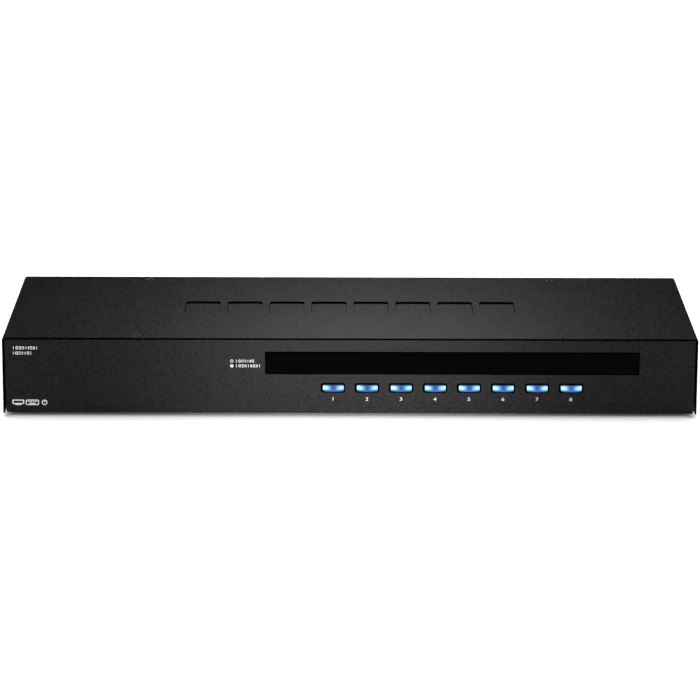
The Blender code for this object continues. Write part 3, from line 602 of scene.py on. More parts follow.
def make_base():
    """The folded base: front panel, floor, rear panel, lips, posts, and all their openings."""
    lip = TOP - COVER_SHEET - SEAM
    path = [(FRONT + FRONT_LIP, lip), (FRONT, lip), (FRONT, FLOOR)]
    path += [(REAR, FLOOR), (REAR, lip), (REAR - REAR_LIP, lip)]
    outline = folded(path, SHEET, BASE_BEND)
    shape = Shape()
    end = BASE_SIDE - END_GAP
    shape.loft([[(x, y, z) for y, z in outline] for x in (-end, end)])
    base = shape.made("chassis_shell")

    added = Shape()
    board_low = node_box("main_board")[0].z
    for x, y in BOARD_POSTS:
        added.pulled(circle(3.0, 6), (x, y, 0), [(FLOOR + 0.5, 0), (board_low - GAP, 0)], "Z")
    for side in (-1, 1):
        for near, far, tall in SIDE_LIPS:
            inner, outer = sorted((side * (BASE_SIDE - SHEET), side * BASE_SIDE))
            added.block((inner, FRONT + near, FLOOR + 0.5), (outer, FRONT + far, FLOOR + tall), 0.12)
    combined(base, "UNION", added)

    holes = Shape()
    window = middle("display_window")
    wide = WINDOW_HIGH.x - WINDOW_LOW.x - 2 * WINDOW_FLANGE
    tall = WINDOW_HIGH.z - WINDOW_LOW.z - 2 * WINDOW_FLANGE
    inward = eased(FRONT, 1, 3.0)
    holes.pulled(rounded(wide, tall, OPENING_RADIUS), (window.x, 0, window.z), inward)
    for cap in CAPS:
        holes.pulled(rounded(*BUTTON_SLOT, 1.3), (cap.x, 0, cap.z - SLOT_DROP), inward)
    outward = eased(REAR, -1, 3.0)
    for name in VIDEO_PORTS:
        x = middle(name).x
        opening = d_shape(SHELL_SIZE[0] + SOCKET_ROOM, SHELL_SIZE[1] + SOCKET_ROOM, 2.5)
        holes.pulled(opening, (x, 0, VIDEO_Z), outward)
        for side in (-1, 1):
            holes.pulled(circle(1.9, 20), (x + side * JACKSCREW_X, 0, VIDEO_Z), outward)
    for name in ("usb_port_stack", "ps2_port_stack", "power_jack"):
        low, high = node_box(name)
        centre = (low + high) / 2
        wide, tall = high.x - low.x + SOCKET_ROOM, high.z - low.z + SOCKET_ROOM
        opening = rounded(wide, tall, 0.3, steps=2)
        holes.pulled(opening, (centre.x, 0, centre.z), outward)
    for name in CORNERS:
        x, y, _ = middle(f"cover_screw_{name}")
        holes.pulled(circle(SCREW_SHANK + 1.5 * GAP, 20), (x, y, lip), [(-3, 0), (0.1, 0)], "Z")
    for side in (-1, 1):
        for y, z in EAR_HOLES:
            holes.pulled(circle(1.8, 20), (side * BASE_SIDE, y, z), [(-3, 0), (2, 0)], "X")
    for x, y in BOARD_POSTS:
        groove = [(-1.0, 0), (0.2, 0), (0.2, -0.35), (-1.0, -0.35)]
        holes.pulled(circle(2.9, 24), (x, y, FLOOR), groove, "Z", hollow=True)
    reach = COVER_BEND + 0.2
    for face, inwards in ((FRONT, 1), (REAR, -1)):
        for side in (-1, 1):
            ends = sorted((side * (BASE_SIDE - 1.2), side * (BASE_SIDE + 1.0)))
            depths = sorted((face - inwards, face + inwards * reach))
            holes.block((ends[0], depths[0], FLOOR - 1), (ends[1], depths[1], FLOOR + reach), 0.02)
    combined(base, "DIFFERENCE", holes)

    # The base's ends behind the cover's side walls and the walls of the front panel's openings take the
    # second material, as painted shade in these gaps and openings.
    def choose(centre, normal):
        if abs(normal.x) > 0.99 and abs(centre.x) > end - 0.01:
            return 1
        in_opening = FLOOR + 5 < centre.z < FLOOR + 40 and FRONT + 0.02 < centre.y < FRONT + SHEET + 0.01
        return 1 if in_opening and abs(normal.y) < 0.95 and abs(centre.x) < BASE_SIDE - 2 else 0

    paint_faces(base, (PAINT, EDGE_AND_PAINTED_SHADE), choose)
    smooth(base, 30.0, weighted=True)
    settle(base, replaces=("base_chassis",))


def make_cover_screws():
    """Countersunk screws with a cross recess, their heads just under the cover's face."""
    x, y, _ = middle("cover_screw_front_left")
    low, high = node_box("cover_screw_front_left")
    length = high.z - low.z
    neck = SCREW_HEAD - SCREW_SHANK
    depth = -SCREW_SUNK - neck
    steps = [(-0.05, SCREW_HEAD - 0.15), (-0.08, SCREW_HEAD), (-SCREW_SUNK, SCREW_HEAD)]
    steps.append((depth, SCREW_SHANK))
    while depth > 0.8 - length:
        for turned, cut in ((0.25, 0), (0.5, 0.22), (0.75, 0.22)):
            steps.append((depth - turned * THREAD_PITCH, SCREW_SHANK - cut))
        depth -= THREAD_PITCH
        steps.append((depth, SCREW_SHANK))
    steps += [(0.4 - length, SCREW_SHANK), (-length, SCREW_SHANK - 0.4)]
    screw = Shape().pulled(circle(0.0), (0, 0, high.z), steps, "Z").made("cover_screw")
    for wide, long in ((0.62, 3.0), (3.0, 0.62)):
        cross = rounded(wide, long, 0.12, steps=2)
        groove = Shape().pulled(cross, (0, 0, high.z), [(1.0, 0), (-0.05, 0), (-1.3, -0.2)], "Z")
        combined(screw, "DIFFERENCE", groove)
    screw.data.materials.append(SCREW)
    smooth(screw, 30.0)
    for i, name in enumerate(CORNERS):
        obj = twin(screw, i, f"screw_{name}")
        place = middle(f"cover_screw_{name}")
        obj.location = (place.x * MM, place.y * MM, 0)
        settle(obj, replaces=(f"cover_screw_{name}",))


def make_feet():
    """Moulded rubber feet: a soft lower edge, a hollow underneath and the sticky pad above."""
    low, high = node_box("foot_front_left")
    radius, tall = (high.x - low.x) / 2, high.z
    steps = [(0.45, -5.0), (0.45, -4.2), (0.0, -3.6), (0.0, -1.6), (0.12, -1.0), (0.45, -0.62)]
    steps += [(tall - 0.2, 0.0), (tall, -0.15), (tall, -0.8), (FLOOR - 0.02, -0.8), (FLOOR - 0.02, -5.0)]
    foot = Shape().pulled(circle(radius), (0, 0, 0), steps, "Z")
    nodes = [f"foot_{name}" for name in CORNERS]
    places = [(middle(node).x, middle(node).y, 0) for node in nodes]
    repeated(foot, [f"rubber_{node}" for node in nodes], places, RUBBER, replaces=nodes)


# ---- Front panel -------------------------------------------------------------------------------
def make_window():
    """The smoked lens: a step that fills the opening, and a flange behind the panel."""
    centre = middle("display_window")
    wide = WINDOW_HIGH.x - WINDOW_LOW.x
    tall = WINDOW_HIGH.z - WINDOW_LOW.z
    step = WINDOW_FLANGE + GAP
    lens = rounded(wide, tall, WINDOW_FLANGE + OPENING_RADIUS, steps=6)
    front, back, shoulder = WINDOW_LOW.y, WINDOW_HIGH.y, FRONT + SHEET + GAP
    steps = [(front, -step - 0.35), (front + 0.05, -step - 0.15), (front + 0.25, -step)]
    steps += [(shoulder, -step), (shoulder, -0.1), (shoulder + 0.1, 0), (back - 0.1, 0), (back, -0.1)]
    shape = Shape().pulled(lens, (centre.x, 0, centre.z), steps)
    piece(shape, "window_lens", WINDOW, replaces=("display_window",))


def cap_face(x, z):
    """How far the cap's face stands in front of the panel: crowned across, leaning back as it rises."""
    across = x / (CAP_SIZE[0] / 2)
    rise = z / (CAP_SIZE[1] / 2)
    crown = CAP_END_PROUD + CAP_CROWN * (1 - across * across)
    lean = CAP_SIZE[1] / 2 * (0.20 * rise + 0.10 * rise * rise) + 0.2
    return crown - lean


def divided(points, longest):
    """A closed outline with extra points along its long sides."""
    fine = []
    for start, end in zip(points, points[1:] + points[:1]):
        count = max(1, math.ceil(math.dist(start, end) / longest))
        for i in range(count):
            share = i / count
            fine.append((start[0] + (end[0] - start[0]) * share, start[1] + (end[1] - start[1]) * share))
    return fine


def make_caps():
    """Selector caps: a blue face crowned both ways with soft edges, on a black keeper with a socket."""
    cap = CAPS[0]
    low, high = node_box("button_cap_1")
    flange = FRONT + SHEET + GAP
    edge = 0.25
    sides = divided(rounded(*CAP_SIZE, 0.7, steps=6)(), 0.5)
    x, z = cap.x + CAP_SHIFT[0], cap.z + CAP_SHIFT[1]

    def ring(share, inset=0.0, sunk=0.0, back=None):
        points = []
        for u, v in sides:
            u *= share * (1 - inset / (CAP_SIZE[0] / 2))
            v *= share * (1 - inset / (CAP_SIZE[1] / 2))
            points.append((x + u, back or FRONT - cap_face(u, v) + sunk, z + v))
        return points

    rings = [ring(1.0, back=flange - 0.02), ring(1.0, sunk=edge)]
    for turn in (0.3, 0.6, 1.0):
        angle = turn * math.pi / 2
        rings.append(ring(1.0, edge * (1 - math.cos(angle)), edge * (1 - math.sin(angle))))
    rings += [ring(share, edge) for share in (0.9, 0.78, 0.64, 0.5, 0.36, 0.22, 0.1, 0.02)]
    offsets = [(other.x - cap.x, 0, 0) for other in CAPS]
    bodies = numbered("button")
    repeated(
        Shape().loft(rings), numbered("selector_cap"), offsets, CAP, bodies,
        numbered("button_cap"), angle=50.0,
    )
    keeper = Shape().block((low.x, flange, low.z), (high.x, flange + 0.8, high.z), 0.2)
    socket = [(flange + 0.4, 1.4), (high.y - 0.2, 1.4), (high.y, 1.2), (high.y, 0.3), (high.y - 1.5, 0.3)]
    keeper.pulled(circle(1.7, 24), (cap.x, 0, cap.z), socket)
    # The keepers take the near-black material, so the gap round each cap shows painted shade.
    repeated(keeper, numbered("cap_keeper"), offsets, EDGE_AND_PAINTED_SHADE, bodies)


def make_switches():
    """Tactile switches: a moulded body, a metal cover with four staked corners, and a plunger."""
    low, high = node_box("switch_body_1")
    cap = CAPS[0]
    offsets = [(other.x - cap.x, 0, 0) for other in CAPS]
    body = Shape()
    outline = rounded(high.x - low.x, high.z - low.z, 0.3, steps=3)
    steps = [(high.y, -0.1), (high.y - 0.1, 0), (low.y + 0.4, 0), (low.y + 0.3, -0.1)]
    body.pulled(outline, (cap.x, 0, cap.z), steps)
    repeated(body, numbered("switch_case"), offsets, BLACK_PLASTIC,
             replaces=numbered("switch_body"))
    metal = Shape()
    hole = circle(2.05, 24)
    square = rounded(high.x - low.x - 0.3, high.z - low.z - 0.3, 0.3, steps=5)
    rings = [
        placed(square(-0.05), (cap.x, low.y, cap.z), "Y"),
        placed(hole(0), (cap.x, low.y, cap.z), "Y"),
        placed(hole(0), (cap.x, low.y + 0.25, cap.z), "Y"),
        placed(square(0), (cap.x, low.y + 0.25, cap.z), "Y"),
        placed(square(0), (cap.x, low.y + 0.05, cap.z), "Y"),
    ]
    metal.loft(rings, hollow=True)
    for side in (-1, 1):
        for level in (-1, 1):
            spot = (cap.x + side * 2.2, low.y, cap.z + level * 2.2)
            metal.pulled(circle(0.3, 10), spot, [(-0.12, -0.15), (-0.05, 0), (0.1, 0)])
    repeated(metal, numbered("switch_cover"), offsets, TINNED, angle=40.0)
    low, high = node_box("switch_plunger_1")
    radius = (high.x - low.x) / 2
    steps = [(low.y, -0.3), (low.y + 0.3, 0), (high.y - 0.2, 0), (high.y, -0.2)]
    stem = Shape().pulled(circle(radius, 24), (cap.x, 0, cap.z), steps)
    repeated(stem, numbered("plunger_stem"), offsets, GREY_PLASTIC,
             bodies=numbered("button"), replaces=numbered("switch_plunger"))


def make_lamps():
    """Port lamps: a clear dome with a flat rim, and a black spacer behind it."""
    low, high = node_box("port_led_1")
    centre = (low + high) / 2
    offsets = [(other.x - CAPS[0].x, 0, 0) for other in CAPS]
    radius = 1.5
    dome = []
    for angle in (0.02, 0.3, 0.6, 0.9, 1.2, math.pi / 2):
        dome.append((low.y + radius * (1 - math.cos(angle)), radius * math.sin(angle)))
    dome += [(high.y - 2.8, radius), (high.y - 2.8, 1.75), (high.y - 2.2, 1.75), (high.y - 2.2, 1.0)]
    lamp = Shape().pulled(circle(0.0, 20), (centre.x, 0, centre.z), dome)
    repeated(lamp, numbered("lamp_lens"), offsets, EPOXY,
             replaces=numbered("port_led"))
    spacer = Shape().pulled(
        circle(0.0, 20), (centre.x, 0, centre.z),
        [(high.y - 2.18, 1.9), (high.y - 2.1, 2.0), (high.y - 0.1, 2.0), (high.y, 1.9)],
    )
    repeated(spacer, numbered("lamp_spacer"), offsets, BLACK_PLASTIC)


# ---- Printing ----------------------------------------------------------------------------------
INK_HEIGHT = 0.03
INK_ROOTED = 0.01                # how far a print reaches into the panel, so that no gap shows
DIGIT_HEIGHT = 2.0
REAR_DIGIT_HEIGHT = 2.6
DIGIT_WIDENING = 1.35
DIGIT_Z = FLOOR + 8.43
CAPITAL_SHARE = 0.72             # a digit's height as a share of its font size
SIGNS_PLACE = (-191.7, FLOOR + 5.95)
MARK_STROKE = 0.3
MARK_GAP = 0.5
CORNER_MARK_X = -191.2
CORNER_MARK_HEIGHT = 1.7
CORNER_MARK = (                  # height of the row's middle, and the widths of its letter-sized marks
    (FLOOR + 38.0, (1.5, 1.3, 1.6, 0.9, 1.2, 0.7, 1.3, 0.8, 1.2)),
    (FLOOR + 34.95, (1.2, 1.3, 0.8, 1.3, 1.3, 1.1, 0.8)),
)
LAMP_MARK_X = -68.2
LAMP_MARK_HEIGHT = 1.6
LAMP_MARK = (                    # as above, with the stroke of the ring that leads the row
    (FLOOR + 30.6, 0.3, (1.3, 1.2, 0.7, 1.4, 1.1, 0.8, 1.1)),
    (FLOOR + 27.75, 0.6, (1.4, 1.2, 1.2, 0.9, 1.3, 1.0, 1.2, 1.1, 0.8)),
)


def digit(text, x, z, height, rear=False):
    """One printed number, as a thin solid on the front or the rear panel."""
    curve = bpy.data.curves.new("digit", "FONT")
    curve.body = text
    curve.align_x = curve.align_y = "CENTER"
    curve.size = height * MM / CAPITAL_SHARE
    curve.extrude = INK_HEIGHT * MM / 2
    curve.resolution_u = 4
    text_object = bpy.data.objects.new("digit", curve)
    bpy.context.scene.collection.objects.link(text_object)
    data = evaluated_mesh(text_object)
    bpy.data.objects.remove(text_object)
    for vertex in data.vertices:
        vertex.co.x *= DIGIT_WIDENING
    heights = [vertex.co.y for vertex in data.vertices]
    data.materials.clear()
    obj = bpy.data.objects.new("digit", data)
    bpy.context.scene.collection.objects.link(obj)
    if rear:
        name, face, turned = f"rear_number_{text}", REAR + INK_HEIGHT / 2, math.pi
    else:
        name, face, turned = f"front_number_{text}", FRONT - INK_HEIGHT / 2, 0
    obj.rotation_euler = (math.pi / 2, 0, turned)
    obj.location = (x * MM, face * MM, z * MM - (min(heights) + max(heights)) / 2)
    piece(obj, name, THIN_INK)


def solid(shape, wide, tall, x, z, radius=0.15):
    """A filled printed form on the front panel."""
    steps = [(-INK_HEIGHT, 0), (INK_ROOTED, 0)]
    shape.pulled(rounded(wide, tall, radius, steps=3), (x, FRONT, z), steps)


def framed(shape, wide, tall, x, z, stroke, radius=0.5):
    """A printed outline on the front panel."""
    steps = [(-INK_HEIGHT, 0), (INK_ROOTED, 0), (INK_ROOTED, -stroke), (-INK_HEIGHT, -stroke)]
    shape.pulled(rounded(wide, tall, radius, steps=4), (x, FRONT, z), steps, hollow=True)


def dashes(shape, x, z, tall, widths):
    """A row of small open frames, posts and bars, about as large and as thin as printed letters."""
    for i, wide in enumerate(widths):
        centre = x + wide / 2
        if i % 4 == 0:
            solid(shape, MARK_STROKE, tall, centre, z, 0.1)
        elif i % 4 == 1:
            framed(shape, wide, tall, centre, z, MARK_STROKE, 0.4)
        elif i % 4 == 2:
            for level in (-1, 0, 1):
                solid(shape, wide, MARK_STROKE, centre, z + level * (tall - MARK_STROKE) / 2, 0.1)
        else:
            for end in (-1, 1):
                solid(shape, MARK_STROKE, tall, centre + end * (wide - MARK_STROKE) / 2, z, 0.1)
        x += wide + MARK_GAP


def make_prints():
    """The port numbers, the signs for screen, keyboard and mouse, and rows of letter-sized marks."""
    for n, cap in zip(PORTS, CAPS):
        digit(str(n), cap.x, DIGIT_Z, DIGIT_HEIGHT)
        digit(str(n), middle(f"pc_port_{n}").x, VIDEO_Z + 10.5, REAR_DIGIT_HEIGHT, rear=True)

    signs = Shape()
    left, z = SIGNS_PLACE
    framed(signs, 6.6, 2.5, left + 3.3, z + 0.3, 0.5)
    solid(signs, 3.4, 0.4, left + 3.3, z - 1.35)
    framed(signs, 7.4, 3.1, left + 11.3, z, 0.45, 0.7)
    for column in range(4):
        solid(signs, 0.7, 0.5, left + 9.2 + column * 1.4, z + 0.5)
    solid(signs, 3.6, 0.45, left + 11.3, z - 0.55)
    framed(signs, 3.2, 3.1, left + 18.2, z, 0.45, 1.5)
    solid(signs, 0.45, 1.0, left + 18.2, z + 0.55)
    piece(signs, "front_signs", INK)

    corner_mark, lamp_mark = Shape(), Shape()
    for z, widths in CORNER_MARK:
        dashes(corner_mark, CORNER_MARK_X, z, CORNER_MARK_HEIGHT, widths)
    for z, stroke, widths in LAMP_MARK:
        framed(lamp_mark, 1.8, 1.8, LAMP_MARK_X + 1.2, z, stroke, 0.9)
        dashes(lamp_mark, LAMP_MARK_X + 3.2, z, LAMP_MARK_HEIGHT, widths)
    piece(corner_mark, "corner_mark", INK)
    piece(lamp_mark, "lamp_mark", THIN_INK)


# ---- Inside ------------------------------------------------------------------------------------
BOARD_FACE = FLOOR + 8.6         # upper face of the main board
PACKAGES = (                     # x, y from the front panel, width, depth, height
    (60, 58, 20, 20, 1.8), (-20, 52, 12, 18, 2.4), (-70, 70, 16, 16, 1.8), (-130, 70, 16, 16, 1.8),
    (120, 62, 10, 16, 2.2),
)
LEG_PITCH = 1.27
CRYSTALS = ((28, 48), (-42, 60))
SMALL_PARTS = 56
HEADER_PITCH = 2.54


def legs(shape, low, high, size=0.4):
    """Rows of gull-wing legs along both long sides of a package."""
    count = int((high.y - low.y - 1.0) / LEG_PITCH)
    start = (low.y + high.y - (count - 1) * LEG_PITCH) / 2
    for i in range(count):
        y = start + i * LEG_PITCH
        for side, x in ((-1, low.x), (1, high.x)):
            for inner, outer, bottom, top in ((-0.1, 0.7, 0.6, 0.8), (0.5, 0.9, 0.0, 0.75)):
                near, far = sorted((x + side * inner, x + side * outer))
                shape.block(
                    (near, y - size / 2, BOARD_FACE + bottom), (far, y + size / 2, BOARD_FACE + top), 0.04
                )


def chip_part(pads, resin, low, high, tip=0.4, overlap=0.05, inset=0.02):
    """A small part: a metal tip at each end, and a resin middle that reaches just into both."""
    for near, far in ((low[0], low[0] + tip), (high[0] - tip, high[0])):
        pads.block((near, low[1], low[2]), (far, high[1], high[2]), 0.05)
    resin.block(
        (low[0] + tip - overlap, low[1] + inset, low[2] + inset),
        (high[0] - tip + overlap, high[1] - inset, high[2] - inset), 0.05,
    )


def make_boards():
    """Both circuit boards' finish, and the small parts soldered to them."""
    for name in ("main_board", "front_board"):
        data = frame["nodes"][name].data
        data.materials.clear()
        data.materials.append(BOARD)
    leads, resin, cans, pads = Shape(), Shape(), Shape(), Shape()
    for x, y, wide, deep, tall in PACKAGES:
        low = Vector((x - wide / 2, FRONT + y - deep / 2, BOARD_FACE + 0.1))
        high = Vector((x + wide / 2, FRONT + y + deep / 2, BOARD_FACE + tall + 0.15))
        legs(leads, low, high)
        over = Vector((0.1, 0.1, 0))
        resin.block(low - over, high + over, 0.25)
        resin.pulled(circle(0.7, 16), (low.x + 2, high.y - 2, high.z), [(-0.05, 0), (0.06, -0.1)], "Z")
    for i in range(6):
        tall = 9.0 if i % 2 else 7.0
        can = [(0, -0.2), (0.3, 0), (0.8, -0.25), (1.1, 0)]
        can += [(tall - 0.3, 0), (tall, -0.3), (tall - 0.1, -0.7)]
        cans.pulled(circle(3.1, 24), (-160 + i * 9, FRONT + 46, BOARD_FACE), can, "Z")
    for x, y in CRYSTALS:
        crystal = [(0, 0.4), (0.4, 0.4), (0.4, 0), (3.2, 0), (3.5, -0.3)]
        cans.pulled(rounded(10.5, 4.4, 2.1, steps=6), (x, FRONT + y, BOARD_FACE), crystal, "Z")
    for i in range(SMALL_PARTS):
        x = -150 + (i * 37) % 290
        y = FRONT + 84 + (i * 13) % 29
        chip_part(pads, resin, (x - 1.0, y - 0.6, BOARD_FACE), (x + 1.0, y + 0.6, BOARD_FACE + 0.5))
    back = node_box("front_board")[1].y
    solder = [(-0.1, 0.9), (0.2, 0.7), (0.9, 0.25)]
    for cap in CAPS:
        for x in (cap.x - 3.2, cap.x + 3.2):
            for z in (BUTTON_Z + 3.8, BUTTON_Z + 7.3):
                chip_part(pads, resin, (x - 0.9, back, z - 0.6), (x + 0.9, back + 0.5, z + 0.6))
        for x in (cap.x - 2.25, cap.x + 2.25):
            for z in (BUTTON_Z - 2.25, BUTTON_Z + 2.25):
                pads.pulled(circle(0.0, 10), (x, back, z), solder)
    piece(leads, "package_legs", TINNED)
    piece(pads, "solder_and_terminals", TINNED)
    piece(resin, "package_bodies", CHIP)
    piece(cans, "capacitors_and_crystals", CAN)


def make_board_link():
    """The header between the boards: a ribbed housing with two rows of bent pins."""
    low, high = node_box("board_link")
    housing = Shape()
    housing.block((low.x, low.y, low.z), (high.x, low.y + 8.5, high.z), 0.3)
    housing.block((low.x + 1, low.y + 8.4, low.z), (high.x - 1, high.y, low.z + 4), 0.3)
    pins = Shape()
    for i in range(int((high.x - low.x - 5) / HEADER_PITCH) + 1):
        x = low.x + 3 + i * HEADER_PITCH
        housing.block((x - 0.4, low.y + 1, high.z - 0.05), (x + 0.4, low.y + 7.5, high.z + 0.01), 0.03)
        pins.block((x - 0.3, high.y - 0.05, low.z + 1.7), (x + 0.3, high.y + 1.4, low.z + 2.3), 0.06)
        pins.block((x - 0.3, high.y + 0.8, low.z - 0.3), (x + 0.3, high.y + 1.4, low.z + 2.2), 0.06)
    piece(housing, "header_housing", BLACK_PLASTIC, replaces=("board_link",))
    piece(pins, "header_pins", GOLD)


def make_buzzer():
    """The round sounder: a drum with a groove near its foot and a hole in its top."""
    low, high = node_box("buzzer")
    centre = (low + high) / 2
    radius = (high.x - low.x) / 2
    steps = [(low.z, -0.3), (low.z + 0.3, 0), (low.z + 2.0, 0), (low.z + 2.15, -0.15), (low.z + 2.3, 0)]
    steps += [(high.z - 0.6, 0), (high.z - 0.2, -0.2), (high.z, -0.7)]
    steps += [(high.z, 1.3 - radius), (high.z - 0.15, 1.15 - radius), (high.z - 1.5, 1.1 - radius)]
    shape = Shape().pulled(circle(radius, 40), (centre.x, centre.y, 0), steps, "Z")
    piece(shape, "sounder", BLACK_PLASTIC, replaces=("buzzer",))


# ---- Rear connectors ---------------------------------------------------------------------------
FLANGE_SHEET = 0.8
SHELL_WALL = 0.42
NUT_FLATS = 4.75                 # across the flats of a jackscrew's hexagon
NUT_LENGTH = 4.8
NUT_BORE = 1.45
NUT_THREAD = 0.4
PIN_PITCH = 2.29                 # between the contacts in one row of a video socket
PIN_ROWS = ((1.98, 0.0), (0.0, 1.15), (-1.98, 0.0))
USB_LEVELS = (1.2, 8.8)          # undersides of the two slots, above the bottom of the stack
PS2_DEEP = 5.9                   # how far the mini-DIN sockets' parts reach in from their mouths


def make_video_ports():
    """HD-15 sockets: drawn D-shell, flange, threaded jackscrews, insert with three rows of contacts."""
    low, high = node_box("pc_port_1")
    x = (low.x + high.x) / 2
    flange_back = REAR - SHEET - GAP - FLANGE_SHEET
    metal = Shape()
    flange = [(flange_back, 0), (flange_back + 0.1, 0)]
    flange += [(flange_back + FLANGE_SHEET - 0.1, 0), (flange_back + FLANGE_SHEET, -0.1)]
    metal.pulled(rounded(high.x - low.x, high.z - low.z, 1.2), (x, 0, VIDEO_Z), flange)
    tip = high.y
    shell = d_shape(*SHELL_SIZE, 2.2)
    wall = [(flange_back + 0.5, 0), (flange_back + 1.6, 0), (tip - 0.25, 0), (tip, -0.12), (tip, -0.3)]
    wall += [(tip - 0.2, -SHELL_WALL), (flange_back + 0.5, -SHELL_WALL)]
    metal.pulled(shell, (x, 0, VIDEO_Z), wall, hollow=True)
    across = NUT_FLATS / math.sqrt(3)
    near = REAR + GAP
    for side in (-1, 1):
        centre = (x + side * JACKSCREW_X, 0, VIDEO_Z)
        depth = near + NUT_LENGTH
        nut = [(near, -0.25), (near + 0.2, 0), (depth - 0.3, 0), (depth, -0.35)]
        nut.append((depth, NUT_BORE - across))
        for _ in range(5):
            nut.append((depth - NUT_THREAD / 2, NUT_BORE - 0.2 - across))
            nut.append((depth - NUT_THREAD, NUT_BORE - across))
            depth -= NUT_THREAD
        metal.pulled(circle(across, 6), centre, [*nut, (depth - 0.2, 1.2 - across)])
        metal.pulled(circle(1.5, 12), centre, [(flange_back, 0), (near + 0.1, 0)])
    for i, shift in enumerate((0, 1.1, 0)):
        for k in range(5):
            pin = Vector((x - 5.6 + k * PIN_PITCH + shift, low.y + 1.5 + i * 2.5, low.z))
            metal.block(pin - Vector((0.25, 0.25, 3.0)), pin + Vector((0.25, 0.25, 1.5)), 0.06)
    offsets = [(middle(name).x - x, 0, 0) for name in VIDEO_PORTS]
    repeated(metal, [f"{name}_metal" for name in VIDEO_PORTS], offsets, TINNED,
             replaces=VIDEO_PORTS)

    for names, material, slot in (
        (VIDEO_PORTS[:8], BLUE_INSERT, "blue_plastic"),
        (VIDEO_PORTS[8:], BLACK_PLASTIC, "black_plastic"),
    ):
        first = middle(names[0]).x
        insert = Shape()
        face = tip - 0.9
        outline = d_shape(SHELL_SIZE[0] - 1.7, SHELL_SIZE[1] - 1.7, 1.6)
        steps = [(flange_back + 0.3, 0), (face - 0.2, 0), (face, -0.2)]
        insert.pulled(outline, (first, 0, VIDEO_Z), steps)
        obj = insert.made("insert")
        holes = Shape()
        hole = [(face + 1, 0.2), (face, 0.2), (face - 0.2, 0), (face - 4, 0)]
        for rise, shift in PIN_ROWS:
            for k in range(5):
                spot = (first + (k - 2) * PIN_PITCH + shift - 0.35, 0, VIDEO_Z + rise)
                holes.pulled(circle(0.5, 12), spot, hole)
        combined(obj, "DIFFERENCE", holes)
        obj.data.materials.append(material)
        smooth(obj, 35.0)
        for i, name in enumerate(names):
            copy = twin(obj, i, f"{name}_insert")
            copy.location = ((middle(name).x - first) * MM, 0, 0)
            settle(copy)
    back = Shape()
    back.block((low.x + 1, low.y, low.z), (high.x - 1, flange_back - 0.05, high.z - 0.6), 0.3)
    repeated(back, [f"{name}_body" for name in VIDEO_PORTS], offsets, BLACK_PLASTIC)


def make_usb():
    """Stacked USB sockets: a steel shield, and in each slot a tongue with four contacts."""
    low, high = node_box("usb_port_stack")
    centre = (low + high) / 2
    face = high.y
    tongues, contacts, slots = Shape(), Shape(), Shape()
    opening = rounded(12.5, 5.1, 0.3, steps=3)
    for level in USB_LEVELS:
        z = low.z + level
        steps = [(face + 1, 0.3), (face, 0.3), (face - 0.3, 0), (face - 9, 0)]
        slots.pulled(opening, (centre.x, 0, z + 2.55), steps)
        tongues.block((centre.x - 5.55, face - 9.5, z + 2.9), (centre.x + 5.55, face - 0.7, z + 4.7), 0.2)
        for k in range(4):
            x = centre.x - 3.5 + k * 2.33
            contacts.block((x - 0.5, face - 8.5, z + 2.8), (x + 0.5, face - 1.4, z + 2.95), 0.04)
    shield = Shape().block(low, high, 0.3)
    bored(shield, "usb_shield", slots, TINNED, ("usb_port_stack",))
    piece(tongues, "usb_tongues", BLACK_PLASTIC)
    piece(contacts, "usb_contacts", GOLD)


def make_ps2():
    """Stacked mini-DIN sockets: purple for a keyboard below, green for a mouse above."""
    low, high = node_box("ps2_port_stack")
    x = (low.x + high.x) / 2
    deep = high.y - PS2_DEEP
    hole = [(high.y, 0), (high.y - 4, 0)]
    housing, bores = Shape().block(low, high, 0.3), Shape()
    for level in PS2_SOCKETS:
        bore = [(high.y + 1, 0.15), (high.y, 0.15), (high.y - 0.2, 0), (high.y - 6, 0)]
        bores.pulled(circle(5.6, 36), (x, 0, low.z + level), bore)
    bored(housing, "ps2_housing", bores, BLACK_PLASTIC, ("ps2_port_stack",))
    metal = Shape()
    for level, material, name in zip(PS2_SOCKETS, (PURPLE, GREEN), ("keyboard", "mouse")):
        centre = (x, 0, low.z + level)
        collar = [(deep, 0), (high.y - 0.3, 0), (high.y - 0.1, -0.15)]
        collar += [(high.y - 0.1, -0.65), (high.y - 0.4, -0.75), (deep, -0.75)]
        ring = Shape().pulled(circle(5.55, 36), centre, collar, hollow=True)
        lining = [(deep, 0), (high.y - 0.7, 0), (high.y - 0.7, -0.3), (deep, -0.3)]
        metal.pulled(circle(4.75, 36), centre, lining, hollow=True)
        piece(ring, f"{name}_collar", material)
        plug = [(deep, 0), (high.y - 1.1, 0), (high.y - 0.9, -0.2)]
        core = Shape().pulled(circle(3.4, 32), centre, plug)
        holes = Shape()
        for k in range(6):
            angle = math.radians(-60 + k * 60)
            spot = (x + 2.3 * math.sin(angle), 0, centre[2] + 2.3 * math.cos(angle))
            holes.pulled(circle(0.42, 10), spot, hole)
        holes.pulled(rounded(1.6, 1.0, 0.1, steps=2), (x, 0, centre[2] - 0.2), hole)
        bored(core, f"{name}_core", holes, material)
    piece(metal, "ps2_shields", TINNED)


